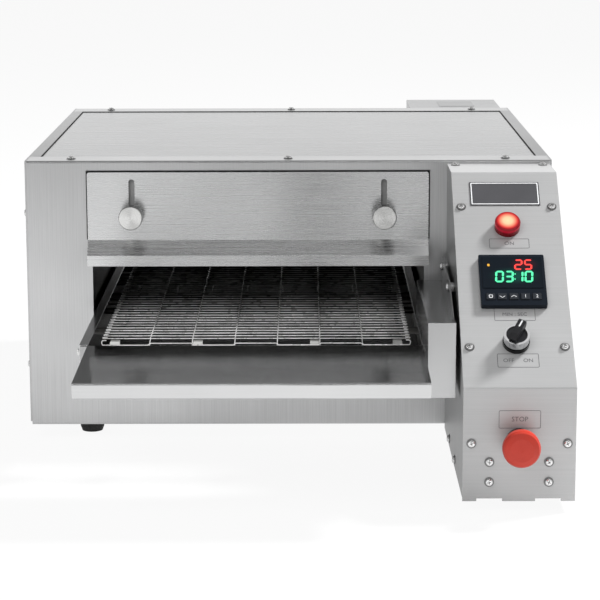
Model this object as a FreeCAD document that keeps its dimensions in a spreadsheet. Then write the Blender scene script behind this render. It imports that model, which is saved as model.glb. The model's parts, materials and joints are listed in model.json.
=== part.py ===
import FreeCAD, Part
import math
import os
import re
import Sketcher

# Tabletop conveyor oven. Millimetres; X to the right, Y to the back, Z up, origin on the table
# under the middle of the cabinet. The driving sizes stand in the sheet, and every sub-part is
# bound to them.

SIZES = {
    # cabinet
    "cabinet_width": 620,
    "cabinet_depth": 600,
    "cabinet_height": 318.5,
    "foot_height": 19,
    "foot_radius": 14.4,
    "foot_inset_side": 69,
    "foot_inset_end": 52,
    "foot_stem": 4,
    "panel_gauge": 1.2,
    "side_gauge": 2,
    "side_setback": 1,
    "side_lift": 4,
    "rim_depth": 42,
    "side_rim": 14,
    "return_depth": 25,
    "bend_radius": 2.5,
    "panel_gap": 0.3,
    "top_screw_pitch": 257,
    "top_screw_inset": 21,
    "side_screw_inset": 15,
    "side_screw_low": 91,
    "side_screw_high": 274,
    "wire_port": 14,
    # conveyor
    "conveyor_offset": -35.5,
    "rail_gauge": 1.2,
    "rail_flange": 10,
    "rail_top": 156,
    "rail_height": 52,
    "rail_overhang": 187.4,
    "opening_clearance": 1.3,
    "opening_height": 154,
    "belt_width": 350,
    "belt_margin": 20,
    "belt_wire": 2,
    "belt_radius": 21.5,
    "belt_drop": 4.5,
    "belt_columns": 7,
    "belt_rows": 42,
    "shaft_inset": 53.4,
    "shaft_radius": 6,
    "running_gap": 0.3,
    "bush_wall": 3,
    "bush_flange": 12,
    "bush_length": 4.5,
    "sprocket_width": 10,
    "sprocket_inner": 66,
    "sprocket_outer": 160,
    "sprocket_teeth": 8,
    "tooth_gap": 5,
    "rod_radius": 4,
    "rod_pitch": 180,
    "tray_length": 174,
    "tray_margin": 11,
    "tray_back": 155.5,
    "tray_front": 151.8,
    "tray_lip": 135,
    "tray_hem": 8,
    "tray_gap": 1.6,
    "ear_depth": 26,
    "ear_low": 115,
    "tray_bolt_inset": 11,
    "tray_bolt_low": 124,
    "tray_bolt_high": 146,
    # tunnel
    "liner_gap": 8,
    "liner_gauge": 1,
    "liner_floor": 60,
    "liner_roof": 286,
    "heater_radius": 4.2,
    "heater_upper": 240,
    "heater_lower": 129,
    "heater_pitch": 100,
    "heater_stub": 6,
    "heater_tail": 58,
    "wool_gap": 8,
    "wool_side": 38,
    "wool_inset": 15.5,
    "probe_radius": 2.5,
    "probe_height": 224,
    "probe_place": 50,
    "probe_length": 120,
    # gates
    "gate_overlap": 4.7,
    "gate_gauge": 1.5,
    "gate_gap": 3,
    "gate_top": 324.5,
    "gate_bend": 244,
    "gate_lip_bend": 227.4,
    "gate_lip_end": 214.9,
    "gate_lip_reach": 14,
    "gate_corner": 3,
    "slot_spacing": 297,
    "slot_radius": 3.5,
    "slot_top": 316,
    "stud_radius": 3,
    "stud_height": 273.7,
    "stud_collar": 6,
    "knob_radius": 14,
    "knob_neck": 8.5,
    "knob_neck_length": 11,
    "knob_length": 26,
    "knob_edge": 1,
    # drive
    "guard_overlap": 7.3,
    "guard_width": 30.1,
    "guard_stand": 4.7,
    "guard_reach": 259.4,
    "guard_low": 112,
    "guard_top": 194.6,
    "guard_flange": 31,
    "chain_width": 6,
    "chain_thickness": 3,
    "wheel_radius": 12,
    "wheel_teeth": 12,
    "pinion_radius": 10,
    "pinion_teeth": 10,
    "motor_place": 72,
    "motor_height": 150,
    "motor_shaft": 5,
    "gearbox_side": 68,
    "gearbox_length": 38,
    "motor_radius": 29,
    "motor_length": 62,
    "motor_plate": 3,
    # console
    "control_width": 120,
    "control_gauge": 1.5,
    "control_top": 333.2,
    "control_flange": 75.7,
    "control_reach": 312.6,
    "control_knee": 135.4,
    "control_base": 11.7,
    "control_notch": 3,
    "control_tab": 15,
    "control_centre_tab": 35,
    "housing_flange": 17,
    "panel_screw_side": 51,
    "panel_screw_flange": 12.6,
    "panel_screw_upper": 53,
    "panel_screw_lower": 254,
    "panel_screw_front": 75,
    "wall_screw_near": 95,
    "wall_screw_far": 190,
    "wall_screw_height": 25,
    "floor_screw_side": 31,
    "floor_screw_inset": 14,
    "plate_width": 78.5,
    "plate_height": 35,
    "plate_gauge": 0.8,
    "plate_place": 33.5,
    "unit_offset": -1,
    "unit_hole": 11.3,
    "unit_barrel": 11,
    "unit_nut": 15,
    "lamp_place": 84,
    "lamp_radius": 14.3,
    "lamp_height": 12,
    "lens_wall": 2,
    "controller_side": 72,
    "controller_bezel": 6,
    "controller_depth": 66,
    "controller_place": 165,
    "controller_fit": 0.4,
    "controller_wall": 2.6,
    "window_width": 66,
    "window_height": 44,
    "window_gauge": 0.6,
    "window_rise": 10,
    "key_width": 9.4,
    "key_height": 8,
    "key_pitch": 12.6,
    "key_drop": 24,
    "key_gap": 0.3,
    "key_travel": 0.5,
    "key_thickness": 2,
    "key_proud": 0.9,
    "selector_place": 248.5,
    "selector_collar": 14.6,
    "selector_collar_height": 5,
    "selector_ring": 14,
    "selector_height": 15,
    "selector_recess": 11.5,
    "selector_stem": 4,
    "selector_blade": 8.5,
    "selector_blade_rise": 11,
    "selector_tip": 13.5,
    "selector_rest": 30,
    "estop_height": 78,
    "estop_radius": 20,
    "estop_proud": 44,
    "estop_collar": 13.5,
    "estop_collar_height": 12,
    "estop_neck": 11,
    "estop_stem": 5,
    "estop_travel": 5,
    # switchgear and rear box
    "contactor_width": 84,
    "contactor_depth": 52,
    "contactor_low": 22,
    "contactor_high": 62,
    "contactor_screw_side": 31.7,
    "contactor_screw_low": 32.8,
    "contactor_screw_high": 54.7,
    "contactor_slot": 3,
    "box_gap": 11.5,
    "box_width": 130,
    "box_depth": 130,
    "box_low": 140,
    "box_drop": 1.5,
    "box_flange": 12,
    "gland_bore": 5,
    "gland_barrel": 9,
    "gland_nut": 13,
    "gland_reach": 24,
    "gland_height": 170,
    # fasteners
    "screw_radius": 2,
    "screw_hole": 2.2,
    "screw_head": 4,
    "screw_head_height": 2.6,
    "screw_washer": 5.3,
    "screw_washer_gauge": 0.8,
    "screw_length": 8,
    "screw_recess": 1.1,
}

# Places worked out from the driving sizes.
PLACES = {
    "half_width": "cabinet_width / 2",
    "half_depth": "cabinet_depth / 2",
    "inner_half": "half_width - side_gauge",
    "top_height": "foot_height + cabinet_height",
    "rail_half": "belt_width / 2 + belt_margin",
    "rail_spacing": "2 * rail_half",
    "rail_end": "half_depth + rail_overhang",
    "rail_base": "rail_top - rail_height",
    "rail_left": "conveyor_offset - rail_half",
    "rail_right": "conveyor_offset + rail_half",
    "opening_half": "rail_half + opening_clearance",
    "opening_top": "rail_base + opening_height",
    "shaft_reach": "rail_end - shaft_inset",
    "shaft_height": "rail_top - belt_drop - belt_radius",
    "bush_bore": "shaft_radius + running_gap",
    "bush_barrel": "bush_bore + bush_wall",
    "sprocket_radius": "belt_radius - belt_wire / 2 - running_gap",
    "tray_tail": "rail_end + tray_gap",
    "tray_nose": "rail_end + tray_length",
    "liner_half": "rail_half + liner_gap",
    "liner_left": "conveyor_offset - liner_half",
    "liner_right": "conveyor_offset + liner_half",
    "end_inner": "half_depth - panel_gauge",
    "gate_face": "half_depth + gate_gap + gate_gauge",
    "gate_lean": "atan2(gate_lip_reach; gate_bend - gate_lip_bend)",
    "slot_low": "stud_height - slot_radius + stud_radius",
    "tray_width": "belt_width + 2 * tray_margin",
    "gate_width": "2 * (opening_half + gate_overlap)",
    "guard_left": "rail_right - guard_overlap",
    "guard_right": "guard_left + guard_width",
    "chain_plane": "guard_left + guard_width / 2",
    "control_left": "guard_right + guard_stand",
    "control_right": "control_left + control_width",
    "control_middle": "control_left + control_width / 2",
    "control_floor": "control_base + control_notch",
    "control_front": "-(half_depth + control_reach)",
    "slope_start": "-(half_depth + control_flange)",
    "slope_angle": "atan2(control_top - control_knee; control_reach - control_flange)",
    "guard_front": "-(half_depth + guard_reach)",
    "motor_axis": "-(half_depth + motor_place)",
    "gearbox_face": "control_left + panel_gauge + motor_plate",
    "box_left": "rail_right + box_gap",
    "box_right": "box_left + box_width",
    "box_back": "half_depth + box_depth",
    "box_top": "top_height - box_drop",
}

doc = FreeCAD.newDocument("conveyor_oven")
sheet = doc.addObject("Spreadsheet::Sheet", "Sizes")
for line, (alias, number) in enumerate(SIZES.items(), start=1):
    sheet.set(f"A{line}", alias)
    sheet.set(f"B{line}", str(number))
    sheet.setAlias(f"B{line}", alias)
doc.recompute()

PARTS = []
WORD = re.compile(r"[a-z_]+[a-z_0-9]*")


def named(text):
    """The text as an expression, with each size name turned into its cell."""
    def swap(match):
        word = match.group(0)
        if word in PLACES:
            return f"({named(PLACES[word])})"
        return f"Sizes.{word}" if word in SIZES else word
    return WORD.sub(swap, str(text))


def value(text):
    """The number that an expression gives now."""
    found = sheet.evalExpression(named(text))
    return float(getattr(found, "Value", found))


def bind(thing, prop, text):
    thing.setExpression(prop, named(text))


def place(thing, base, axis=(0, 0, 1), angle="0"):
    """Binds the place of a piece: a base point, and a turn about one axis."""
    thing.Placement.Rotation = FreeCAD.Rotation(FreeCAD.Vector(*axis), value(angle) or 1e-9)
    bind(thing, "Placement", f"placement(vector({base[0]};{base[1]};{base[2]});"
         f"rotation(vector({axis[0]};{axis[1]};{axis[2]});{angle}))")
    return thing


def block(name, low, high):
    """A box between two corners."""
    box = doc.addObject("Part::Box", name)
    for side, start, end in zip(("Length", "Width", "Height"), low, high):
        bind(box, side, f"({end}) - ({start})")
    for letter, start in zip("xyz", low):
        bind(box, f"Placement.Base.{letter}", start)
    return box


TURNS = {"x": ((0, 1, 0), "90"), "-x": ((0, 1, 0), "-90"), "y": ((1, 0, 0), "-90"),
         "-y": ((1, 0, 0), "90"), "z": ((0, 0, 1), "0"), "-z": ((1, 0, 0), "180")}


def rod(name, base, heading, radius, length):
    """A cylinder from a base point along one axis."""
    peg = doc.addObject("Part::Cylinder", name)
    bind(peg, "Radius", radius)
    bind(peg, "Height", length)
    return place(peg, base, *TURNS[heading])


def fuse(name, pieces):
    joined = doc.addObject("Part::MultiFuse", name)
    joined.Shapes = pieces
    return joined


def cut(name, base, tools):
    """The base less all its tools."""
    left = doc.addObject("Part::Cut", name)
    left.Base = base
    left.Tool = tools[0] if len(tools) == 1 else group(name + "_tools", tools)
    return left


def group(name, pieces):
    held = doc.addObject("Part::Compound", name)
    held.Links = pieces
    return held


def copy(name, source, base, axis=(0, 0, 1), angle="0"):
    """The same piece in another place."""
    link = doc.addObject("App::Link", name)
    link.LinkedObject = source
    return place(link, base, axis, angle)


def part(label, thing):
    """Names a finished sub-part."""
    thing.Label = label
    PARTS.append((label, thing))
    return thing


def body(name):
    return doc.addObject("PartDesign::Body", name)


def sketch(owner, name, plane):
    drawn = owner.newObject("Sketcher::SketchObject", name)
    support = [f for f in owner.Origin.OriginFeatures if f.Role == plane][0]
    drawn.AttachmentSupport = [(support, "")]
    drawn.MapMode = "FlatFace"
    return drawn


def corner_sketch(owner, name, plane, corners):
    """A closed outline whose corners are all bound."""
    drawn = sketch(owner, name, plane)
    points = [FreeCAD.Vector(value(a), value(b), 0) for a, b in corners]
    for index, point in enumerate(points):
        drawn.addGeometry(Part.LineSegment(point, points[(index + 1) % len(points)]), False)
    for index in range(len(points)):
        drawn.addConstraint(Sketcher.Constraint("Coincident", index, 2, (index + 1) % len(points), 1))
    for index, (point, texts) in enumerate(zip(points, corners)):
        for kind, number, text in (("DistanceX", point.x, texts[0]), ("DistanceY", point.y, texts[1])):
            rule = drawn.addConstraint(Sketcher.Constraint(kind, -1, 1, index, 1, number))
            bind(drawn, f"Constraints[{rule}]", text)
    return drawn


def circle_sketch(owner, name, plane, circles):
    """Circles with bound centres and radii."""
    drawn = sketch(owner, name, plane)
    for across, up, radius in circles:
        centre = FreeCAD.Vector(value(across), value(up), 0)
        index = drawn.addGeometry(Part.Circle(centre, FreeCAD.Vector(0, 0, 1), value(radius)), False)
        for kind, number, text in (("DistanceX", centre.x, across), ("DistanceY", centre.y, up)):
            rule = drawn.addConstraint(Sketcher.Constraint(kind, -1, 1, index, 3, number))
            bind(drawn, f"Constraints[{rule}]", text)
        rule = drawn.addConstraint(Sketcher.Constraint("Radius", index, value(radius)))
        bind(drawn, f"Constraints[{rule}]", radius)
    return drawn


def pad(owner, name, profile, length, centred=False, reverse=False):
    grown = owner.newObject("PartDesign::Pad", name)
    grown.Profile = profile
    bind(grown, "Length", length)
    if centred:
        grown.SideType = "Symmetric"
    grown.Reversed = reverse
    owner.Tip = grown
    return grown


def round_edges(owner, name, radius, wanted):
    """Fillets the tip's edges whose middle and length pass a test."""
    doc.recompute()
    base = owner.Tip
    chosen = [f"Edge{i}" for i, edge in enumerate(base.Shape.Edges, start=1)
              if wanted(edge.CenterOfMass, edge.Length)]
    rounded = owner.newObject("PartDesign::Fillet", name)
    rounded.Base = (base, chosen)
    bind(rounded, "Radius", radius)
    owner.Tip = rounded
    return rounded


def turned(name, outline):
    """A body turned about its own Z from (radius, height) corners."""
    owner = body(name)
    profile = corner_sketch(owner, name + "_outline", "XZ_Plane", outline)
    spun = owner.newObject("PartDesign::Revolution", name + "_turn")
    spun.Profile = profile
    spun.ReferenceAxis = (profile, ["V_Axis"])
    spun.Angle = 360
    owner.Tip = spun
    return owner


def toothed(name, radius, width, teeth, gap, bore):
    """A sprocket about its own X: a disc with a bore, and a gap patterned round its rim."""
    owner = body(name)
    rings = circle_sketch(owner, name + "_disc", "YZ_Plane", [("0", "0", radius), ("0", "0", bore)])
    pad(owner, name + "_blank", rings, width, centred=True)
    notch = circle_sketch(owner, name + "_gap", "YZ_Plane", [("0", radius, gap)])
    doc.recompute()
    pocket = owner.newObject("PartDesign::Pocket", name + "_notch")
    pocket.Profile = notch
    pocket.Type = "ThroughAll"
    pocket.SideType = "Symmetric"
    owner.Tip = pocket
    doc.recompute()
    ring = owner.newObject("PartDesign::PolarPattern", name + "_teeth")
    ring.Originals = [pocket]
    ring.Axis = (rings, ["N_Axis"])
    ring.Angle = 360
    owner.Tip = ring
    bind(ring, "Occurrences", teeth)
    return owner


def slope_spot(across, down, lift="0"):
    """A place on the console's slope: across from its middle, down from its top edge, off its skin."""
    base = (f"control_middle + ({across})",
            f"slope_start - ({down}) * cos(slope_angle) - ({lift}) * sin(slope_angle)",
            f"control_top - ({down}) * sin(slope_angle) + ({lift}) * cos(slope_angle)")
    return base, (1, 0, 0), "slope_angle"


def front_spot(across, height, lift="0"):
    """A place on the console's lower front."""
    return (f"control_middle + ({across})", f"control_front - ({lift})", height), (1, 0, 0), "90"


def flange_spot(across, lift="0"):
    """A place on the console's top flange."""
    return ((f"control_middle + ({across})", "-(half_depth + panel_screw_flange)",
             f"control_top + ({lift})"), (0, 0, 1), "0")


def drill(name, spot, radius, depth="40"):
    """A round tool through the skin at a spot that was lifted by half its depth downwards."""
    tool = doc.addObject("Part::Cylinder", name)
    bind(tool, "Radius", radius)
    bind(tool, "Height", depth)
    return place(tool, *spot)


# One pan head screw with a washer and a cross recess, seated on z = 0, and copied wherever one is used.

screw = turned("screw", [
    ("0", "-screw_length"), ("screw_radius", "-screw_length"), ("screw_radius", "0"),
    ("screw_washer", "0"), ("screw_washer", "screw_washer_gauge"),
    ("screw_head", "screw_washer_gauge"),
    ("screw_head", "screw_washer_gauge + screw_head_height * 0.55"),
    ("screw_head * 0.72", "screw_washer_gauge + screw_head_height"),
    ("0", "screw_washer_gauge + screw_head_height")])
arm = "screw_head * 0.55"
bar = "screw_head * 0.13"
cross = corner_sketch(screw, "screw_cross", "XY_Plane", [
    (f"-{arm}", f"-{bar}"), (f"-{bar}", f"-{bar}"), (f"-{bar}", f"-{arm}"), (bar, f"-{arm}"),
    (bar, f"-{bar}"), (arm, f"-{bar}"), (arm, bar), (bar, bar), (bar, arm), (f"-{bar}", arm),
    (f"-{bar}", bar), (f"-{arm}", bar)])
bind(cross, "AttachmentOffset.Base.z", "screw_washer_gauge + screw_head_height")
doc.recompute()
recess = screw.newObject("PartDesign::Pocket", "screw_recess_cut")
recess.Profile = cross
bind(recess, "Length", "screw_recess")
screw.Tip = recess

# Cabinet ends: a bent panel with rims and returns, seen from the front; the rear one is turned about.


def end_panel(name, middle, ports):
    """One end of the cabinet, with the tunnel opening about a middle line."""
    owner = body(name + "_bend")
    outline = corner_sketch(owner, name + "_outline", "YZ_Plane", [
        ("-half_depth", "foot_height"), ("-half_depth", "top_height"),
        ("-half_depth + rim_depth", "top_height"),
        ("-half_depth + rim_depth", "top_height - panel_gauge"),
        ("-half_depth + panel_gauge", "top_height - panel_gauge"),
        ("-half_depth + panel_gauge", "foot_height + panel_gauge"),
        ("-half_depth + return_depth", "foot_height + panel_gauge"),
        ("-half_depth + return_depth", "foot_height")])
    pad(owner, name + "_sheet", outline, "2 * inner_half", centred=True)
    front, top, low = value("-half_depth"), value("top_height"), value("foot_height")
    round_edges(owner, name + "_bends", "bend_radius", lambda c, length: (
        abs(c.x) < 0.01 and abs(c.y - front) < 0.01 and min(abs(c.z - top), abs(c.z - low)) < 0.01))
    returns = []
    for side, start in (("left", "-inner_half"), ("right", "inner_half - panel_gauge")):
        returns.append(block(f"{name}_{side}_return",
                             (start, "-end_inner - panel_gauge / 2", "foot_height + panel_gauge / 2"),
                             (f"{start} + panel_gauge", "-half_depth + return_depth",
                              "top_height - 2 * panel_gauge")))
    tools = [block(f"{name}_opening",
                   (f"{middle} - opening_half", "-half_depth - 5", "rail_base"),
                   (f"{middle} + opening_half", "-end_inner + 5", "opening_top"))]
    for sign, side in ((-1, "left"), (1, "right")):
        tools.append(rod(f"{name}_stud_hole_{side}",
                         (f"{middle} + {sign} * slot_spacing / 2", "-half_depth - 5", "stud_height"),
                         "y", "stud_radius + running_gap / 6", "10"))
        for row in ("low", "high"):
            tools.append(rod(f"{name}_{side}_{row}_hole",
                             (f"{sign} * (half_width + 5)", "-half_depth + side_screw_inset",
                              f"side_screw_{row}"), "x" if sign < 0 else "-x", "screw_hole", "20"))
    for step in (-1, 0, 1):
        tools.append(rod(f"{name}_top_hole_{step + 1}",
                         (f"{step} * top_screw_pitch", "-half_depth + top_screw_inset", "top_height - 10"),
                         "z", "screw_hole", "20"))
    for index, (across, height) in enumerate(ports):
        tools.append(rod(f"{name}_port_{index}", (across, "-half_depth - 5", height), "y", "wire_port", "10"))
    return cut(name, fuse(name + "_joined", [owner] + returns), tools)


part("front_panel", end_panel("front_panel", "conveyor_offset", [("control_middle", "60")]))
rear_panel = end_panel("rear_panel", "(-conveyor_offset)", [("-(box_left + box_width / 2)", "230")])
part("rear_panel", place(rear_panel, ("0", "0", "0"), (0, 0, 1), "180"))

# Cabinet sides, top and bottom.

side_wall = block("side_wall", ("-half_width", "-half_depth + side_setback", "foot_height + side_lift"),
                  ("-inner_half", "half_depth - side_setback", "top_height"))
side_top = block("side_top", ("-half_width", "-half_depth + rim_depth + panel_gap",
                              "top_height - panel_gauge"),
                 ("-half_width + side_rim", "half_depth - rim_depth - panel_gap", "top_height"))
side_holes = []
for end in (-1, 1):
    for row in ("low", "high"):
        side_holes.append(rod(f"side_hole_{end + 1}_{row}",
                              ("-half_width - 5", f"{end} * (half_depth - side_screw_inset)",
                               f"side_screw_{row}"), "x", "screw_hole", "12"))
left_side = part("left_side_panel", cut("left_side_panel", fuse("side_joined", [side_wall, side_top]),
                                        side_holes))
part("right_side_panel", group("right_side_panel", [
    copy("right_side_copy", left_side, ("0", "0", "0"), (0, 0, 1), "180")]))

lid = block("top_sheet", ("-inner_half + panel_gap", "-end_inner + panel_gap", "top_height - 2 * panel_gauge"),
            ("inner_half - panel_gap", "end_inner - panel_gap", "top_height - panel_gauge"))
lid_holes = []
for end in (-1, 1):
    for step in (-1, 0, 1):
        lid_holes.append(rod(f"top_hole_{end + 1}_{step + 1}",
                             (f"{step} * top_screw_pitch", f"{end} * (half_depth - top_screw_inset)",
                              "top_height - 10"), "z", "screw_hole", "20"))
part("top_panel", cut("top_panel", lid, lid_holes))

FEET = [(f"{a} * (half_width - foot_inset_side)", f"{b} * (half_depth - foot_inset_end)")
        for a in (-1, 1) for b in (-1, 1)]
floor = block("bottom_sheet", ("-inner_half + panel_gauge + panel_gap", "-end_inner + panel_gap",
                               "foot_height + panel_gauge"),
              ("inner_half - panel_gauge - panel_gap", "end_inner - panel_gap",
               "foot_height + 2 * panel_gauge"))
part("bottom_pan", cut("bottom_pan", floor, [
    rod(f"foot_hole_{i}", (x, y, "foot_height"), "z", "foot_stem + running_gap", "10")
    for i, (x, y) in enumerate(FEET)]))

foot = turned("foot", [
    ("0", "0"), ("foot_radius * 0.86", "0"), ("foot_radius", "foot_height * 0.3"),
    ("foot_radius", "foot_height + panel_gauge"), ("foot_stem", "foot_height + panel_gauge"),
    ("foot_stem", "foot_height + 3 * panel_gauge"), ("0", "foot_height + 3 * panel_gauge")])
part("rubber_feet", group("rubber_feet", [
    copy(f"foot_{i}", foot, (x, y, "0")) for i, (x, y) in enumerate(FEET)]))

# Tunnel: liner, wool, heating elements and probe.

HEATERS = [("upper", step, "heater_upper") for step in (-2, -1, 0, 1, 2)]
HEATERS += [("lower", step, "heater_lower") for step in (-1.5, -0.5, 0.5, 1.5)]


def heater_tools(name, start, length, clearance, rows=("upper", "lower")):
    """Round tools along every heating element."""
    return [rod(f"{name}_{row}_{index}", (start, f"{step} * heater_pitch", height), "x",
                f"heater_radius + {clearance}", length)
            for index, (row, step, height) in enumerate(HEATERS) if row in rows]


tube_outer = block("liner_outer", ("liner_left - liner_gauge", "-end_inner", "liner_floor"),
                   ("liner_right + liner_gauge", "end_inner", "liner_roof"))
tube_inner = block("liner_inner", ("liner_left", "-end_inner - 5", "liner_floor + liner_gauge"),
                   ("liner_right", "end_inner + 5", "liner_roof - liner_gauge"))
probe_hole = rod("probe_hole", ("liner_right - 5", "probe_place", "probe_height"), "x",
                 "probe_radius + running_gap", "12")
part("chamber_liner", cut("chamber_liner", tube_outer, [tube_inner, probe_hole] + heater_tools(
    "liner_hole", "liner_left - 5", "2 * liner_half + 10", "running_gap")))

wool_top = block("wool_top", ("liner_left", "-end_inner + 2", "liner_roof + 1"),
                 ("liner_right", "end_inner - 2", "top_height - 2 * panel_gauge - screw_length"))
wool_floor = block("wool_floor", ("liner_left", "-end_inner + 2", "foot_height + 4 * panel_gauge"),
                   ("liner_right", "end_inner - 2", "liner_floor - 1"))
wool_left = block("wool_left", ("-inner_half + wool_inset", "-end_inner + 26",
                                "foot_height + 6 * panel_gauge"),
                  ("liner_left - wool_gap", "end_inner - 26", "top_height - 12"))
wool_right = block("wool_right", ("liner_right + wool_gap", "-end_inner + 26",
                                  "foot_height + 6 * panel_gauge"),
                   ("liner_right + wool_gap + wool_side", "end_inner - 26", "top_height - 12"))
wool_holes = heater_tools("wool_hole", "liner_right", "wool_gap + wool_side + 10", "1")
wool_holes.append(rod("wool_probe_hole", ("liner_right", "probe_place", "probe_height"), "x",
                      "probe_radius + 5", "wool_gap + wool_side + 10"))
part("insulation", group("insulation", [wool_top, wool_floor, wool_left,
                                        cut("wool_right_bored", wool_right, wool_holes)]))

for row in ("upper", "lower"):
    tubes = []
    for index, (kind, step, height) in enumerate(HEATERS):
        if kind == row:
            sleeve = rod(f"{row}_sleeve_{index}", ("liner_left - liner_gauge - heater_stub",
                                                   f"{step} * heater_pitch", height),
                         "x", "heater_radius", "2 * liner_half + 2 * liner_gauge + heater_stub + heater_tail")
            pin = rod(f"{row}_pin_{index}", ("liner_right + liner_gauge + heater_tail - 1",
                                             f"{step} * heater_pitch", height),
                      "x", "heater_radius / 2", "13")
            tubes.append(fuse(f"{row}_heater_{index}", [sleeve, pin]))
    part(f"{row}_heaters", group(f"{row}_heaters", tubes))

probe = turned("probe", [
    ("0", "0"), ("probe_radius", "0"), ("probe_radius", "probe_length"),
    ("probe_radius * 2", "probe_length"), ("probe_radius * 2", "probe_length + 6"),
    ("probe_radius", "probe_length + 6"), ("probe_radius", "probe_length + 60"),
    ("0", "probe_length + 60")])
place(probe, ("liner_right + liner_gauge - probe_length", "probe_place", "probe_height"), *TURNS["x"])
part("temperature_probe", probe)

# Conveyor: rails, bushes, cross rods, belt.


def rail(name, edge, inward, tools):
    """An angle rail whose outer face stands at an edge."""
    owner = body(name + "_angle")
    outline = corner_sketch(owner, name + "_outline", "XZ_Plane", [
        (edge, "rail_base"), (edge, "rail_top"),
        (f"{edge} + {inward} * rail_flange", "rail_top"),
        (f"{edge} + {inward} * rail_flange", "rail_top - rail_gauge"),
        (f"{edge} + {inward} * rail_gauge", "rail_top - rail_gauge"),
        (f"{edge} + {inward} * rail_gauge", "rail_base")])
    pad(owner, name + "_sheet", outline, "2 * rail_end", centred=True)
    return cut(name, owner, tools)


rail_holes = heater_tools("rail_heater_hole", "rail_left - 5", "rail_spacing + 10", "running_gap", ("lower",))
for end in (-1, 1):
    rail_holes.append(rod(f"rail_bush_hole_{end + 1}",
                          ("rail_left - 5", f"{end} * shaft_reach", "shaft_height"),
                          "x", "bush_barrel + running_gap", "rail_spacing + 10"))
    for row in ("low", "high"):
        rail_holes.append(rod(f"rail_bolt_hole_{end + 1}_{row}",
                              ("rail_left - 5", f"{end} * (rail_end - tray_bolt_inset)",
                               f"tray_bolt_{row}"), "x", "screw_hole", "rail_spacing + 10"))
part("left_rail", rail("left_rail", "rail_left", "1", rail_holes))
part("right_rail", rail("right_rail", "rail_right", "-1", rail_holes))

bush = turned("bush", [
    ("bush_bore", "0"), ("bush_barrel", "0"), ("bush_barrel", "rail_gauge"),
    ("bush_flange", "rail_gauge"), ("bush_flange", "rail_gauge + bush_length"),
    ("bush_bore", "rail_gauge + bush_length")])
bushes = []
for end in (-1, 1):
    for edge, heading in (("left", "x"), ("right", "-x")):
        bushes.append(copy(f"bush_{end + 1}_{edge}", bush,
                           (f"rail_{edge}", f"{end} * shaft_reach", "shaft_height"), *TURNS[heading]))
part("shaft_bushes", group("shaft_bushes", bushes))

part("belt_support_rods", group("belt_support_rods", [
    rod(f"cross_rod_{step + 2}", ("rail_left + rail_gauge", f"{step} * rod_pitch",
                                  "shaft_height + belt_radius - belt_wire / 2 - running_gap - rod_radius"),
        "x", "rod_radius", "rail_spacing - 2 * rail_gauge") for step in (-2, -1, 0, 1, 2)]))


def belt_loop():
    """The belt as one band round both shafts, its upper run pierced like the wire mesh."""
    width, wire, reach = value("belt_width"), value("belt_wire"), value("shaft_reach")
    middle, height, radius = value("conveyor_offset"), value("shaft_height"), value("belt_radius")
    columns, rows = int(value("belt_columns")), int(value("belt_rows"))
    outer, inner = radius + wire / 2, radius - wire / 2
    left = middle - width / 2
    pieces = []
    for end in (-1, 1):
        for size in (outer, inner):
            centre = FreeCAD.Vector(left, end * reach, height)
            pieces.append(Part.makeCylinder(size, width, centre, FreeCAD.Vector(1, 0, 0)))
    halves = [pieces[0].cut(pieces[1]), pieces[2].cut(pieces[3])]
    keep = Part.makeBox(width, 4 * outer, 4 * outer, FreeCAD.Vector(left, -reach - 4 * outer, height - 2 * outer))
    keep_far = Part.makeBox(width, 4 * outer, 4 * outer, FreeCAD.Vector(left, reach, height - 2 * outer))
    ends = [halves[0].common(keep), halves[1].common(keep_far)]
    lower = Part.makeBox(width, 2 * reach, wire, FreeCAD.Vector(left, -reach, height - outer))
    edge = [FreeCAD.Vector(left, -reach, height + inner), FreeCAD.Vector(left + width, -reach, height + inner),
            FreeCAD.Vector(left + width, reach, height + inner), FreeCAD.Vector(left, reach, height + inner)]
    wires = [Part.makePolygon(edge + edge[:1])]
    step_x, step_y = (width - wire) / columns, 2 * reach / rows
    for column in range(columns):
        for row in range(rows):
            x0, x1 = left + wire + column * step_x, left + (column + 1) * step_x
            y0 = -reach + wire / 2 + row * step_y
            y1 = y0 + step_y - wire
            gap = [FreeCAD.Vector(x0, y0, edge[0].z), FreeCAD.Vector(x1, y0, edge[0].z),
                   FreeCAD.Vector(x1, y1, edge[0].z), FreeCAD.Vector(x0, y1, edge[0].z)]
            wires.append(Part.makePolygon(gap + gap[:1]))
    upper = Part.Face(wires, "Part::FaceMakerBullseye").extrude(FreeCAD.Vector(0, 0, wire))
    return upper.fuse(ends + [lower]).removeSplitter()


belt = doc.addObject("Part::Feature", "conveyor_belt")
belt.Shape = belt_loop()
part("conveyor_belt", belt)

# Shafts and sprockets.

part("drive_shaft", rod("drive_shaft", ("rail_left", "-shaft_reach", "shaft_height"), "x", "shaft_radius",
                        "chain_plane + chain_width / 2 + 4 - rail_left"))
part("idler_shaft", rod("idler_shaft", ("rail_left", "shaft_reach", "shaft_height"), "x", "shaft_radius",
                        "rail_spacing"))
sprocket = toothed("belt_sprocket", "sprocket_radius", "sprocket_width", "sprocket_teeth", "tooth_gap",
                   "shaft_radius + running_gap / 6")
for label, end in (("drive_sprockets", "-shaft_reach"), ("idler_sprockets", "shaft_reach")):
    row = []
    for index, offset in enumerate(("-sprocket_outer", "-sprocket_inner", "sprocket_inner", "sprocket_outer")):
        row.append(copy(f"{label}_{index}", sprocket, (f"conveyor_offset + {offset}", end, "shaft_height")))
    part(label, group(label, row))

wheel = toothed("wheel", "wheel_radius", "chain_width", "wheel_teeth", "wheel_radius * 0.16",
                "shaft_radius + running_gap / 6")
part("chain_wheel", place(wheel, ("chain_plane", "-shaft_reach", "shaft_height")))

# Motor, chain and guard.

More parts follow.
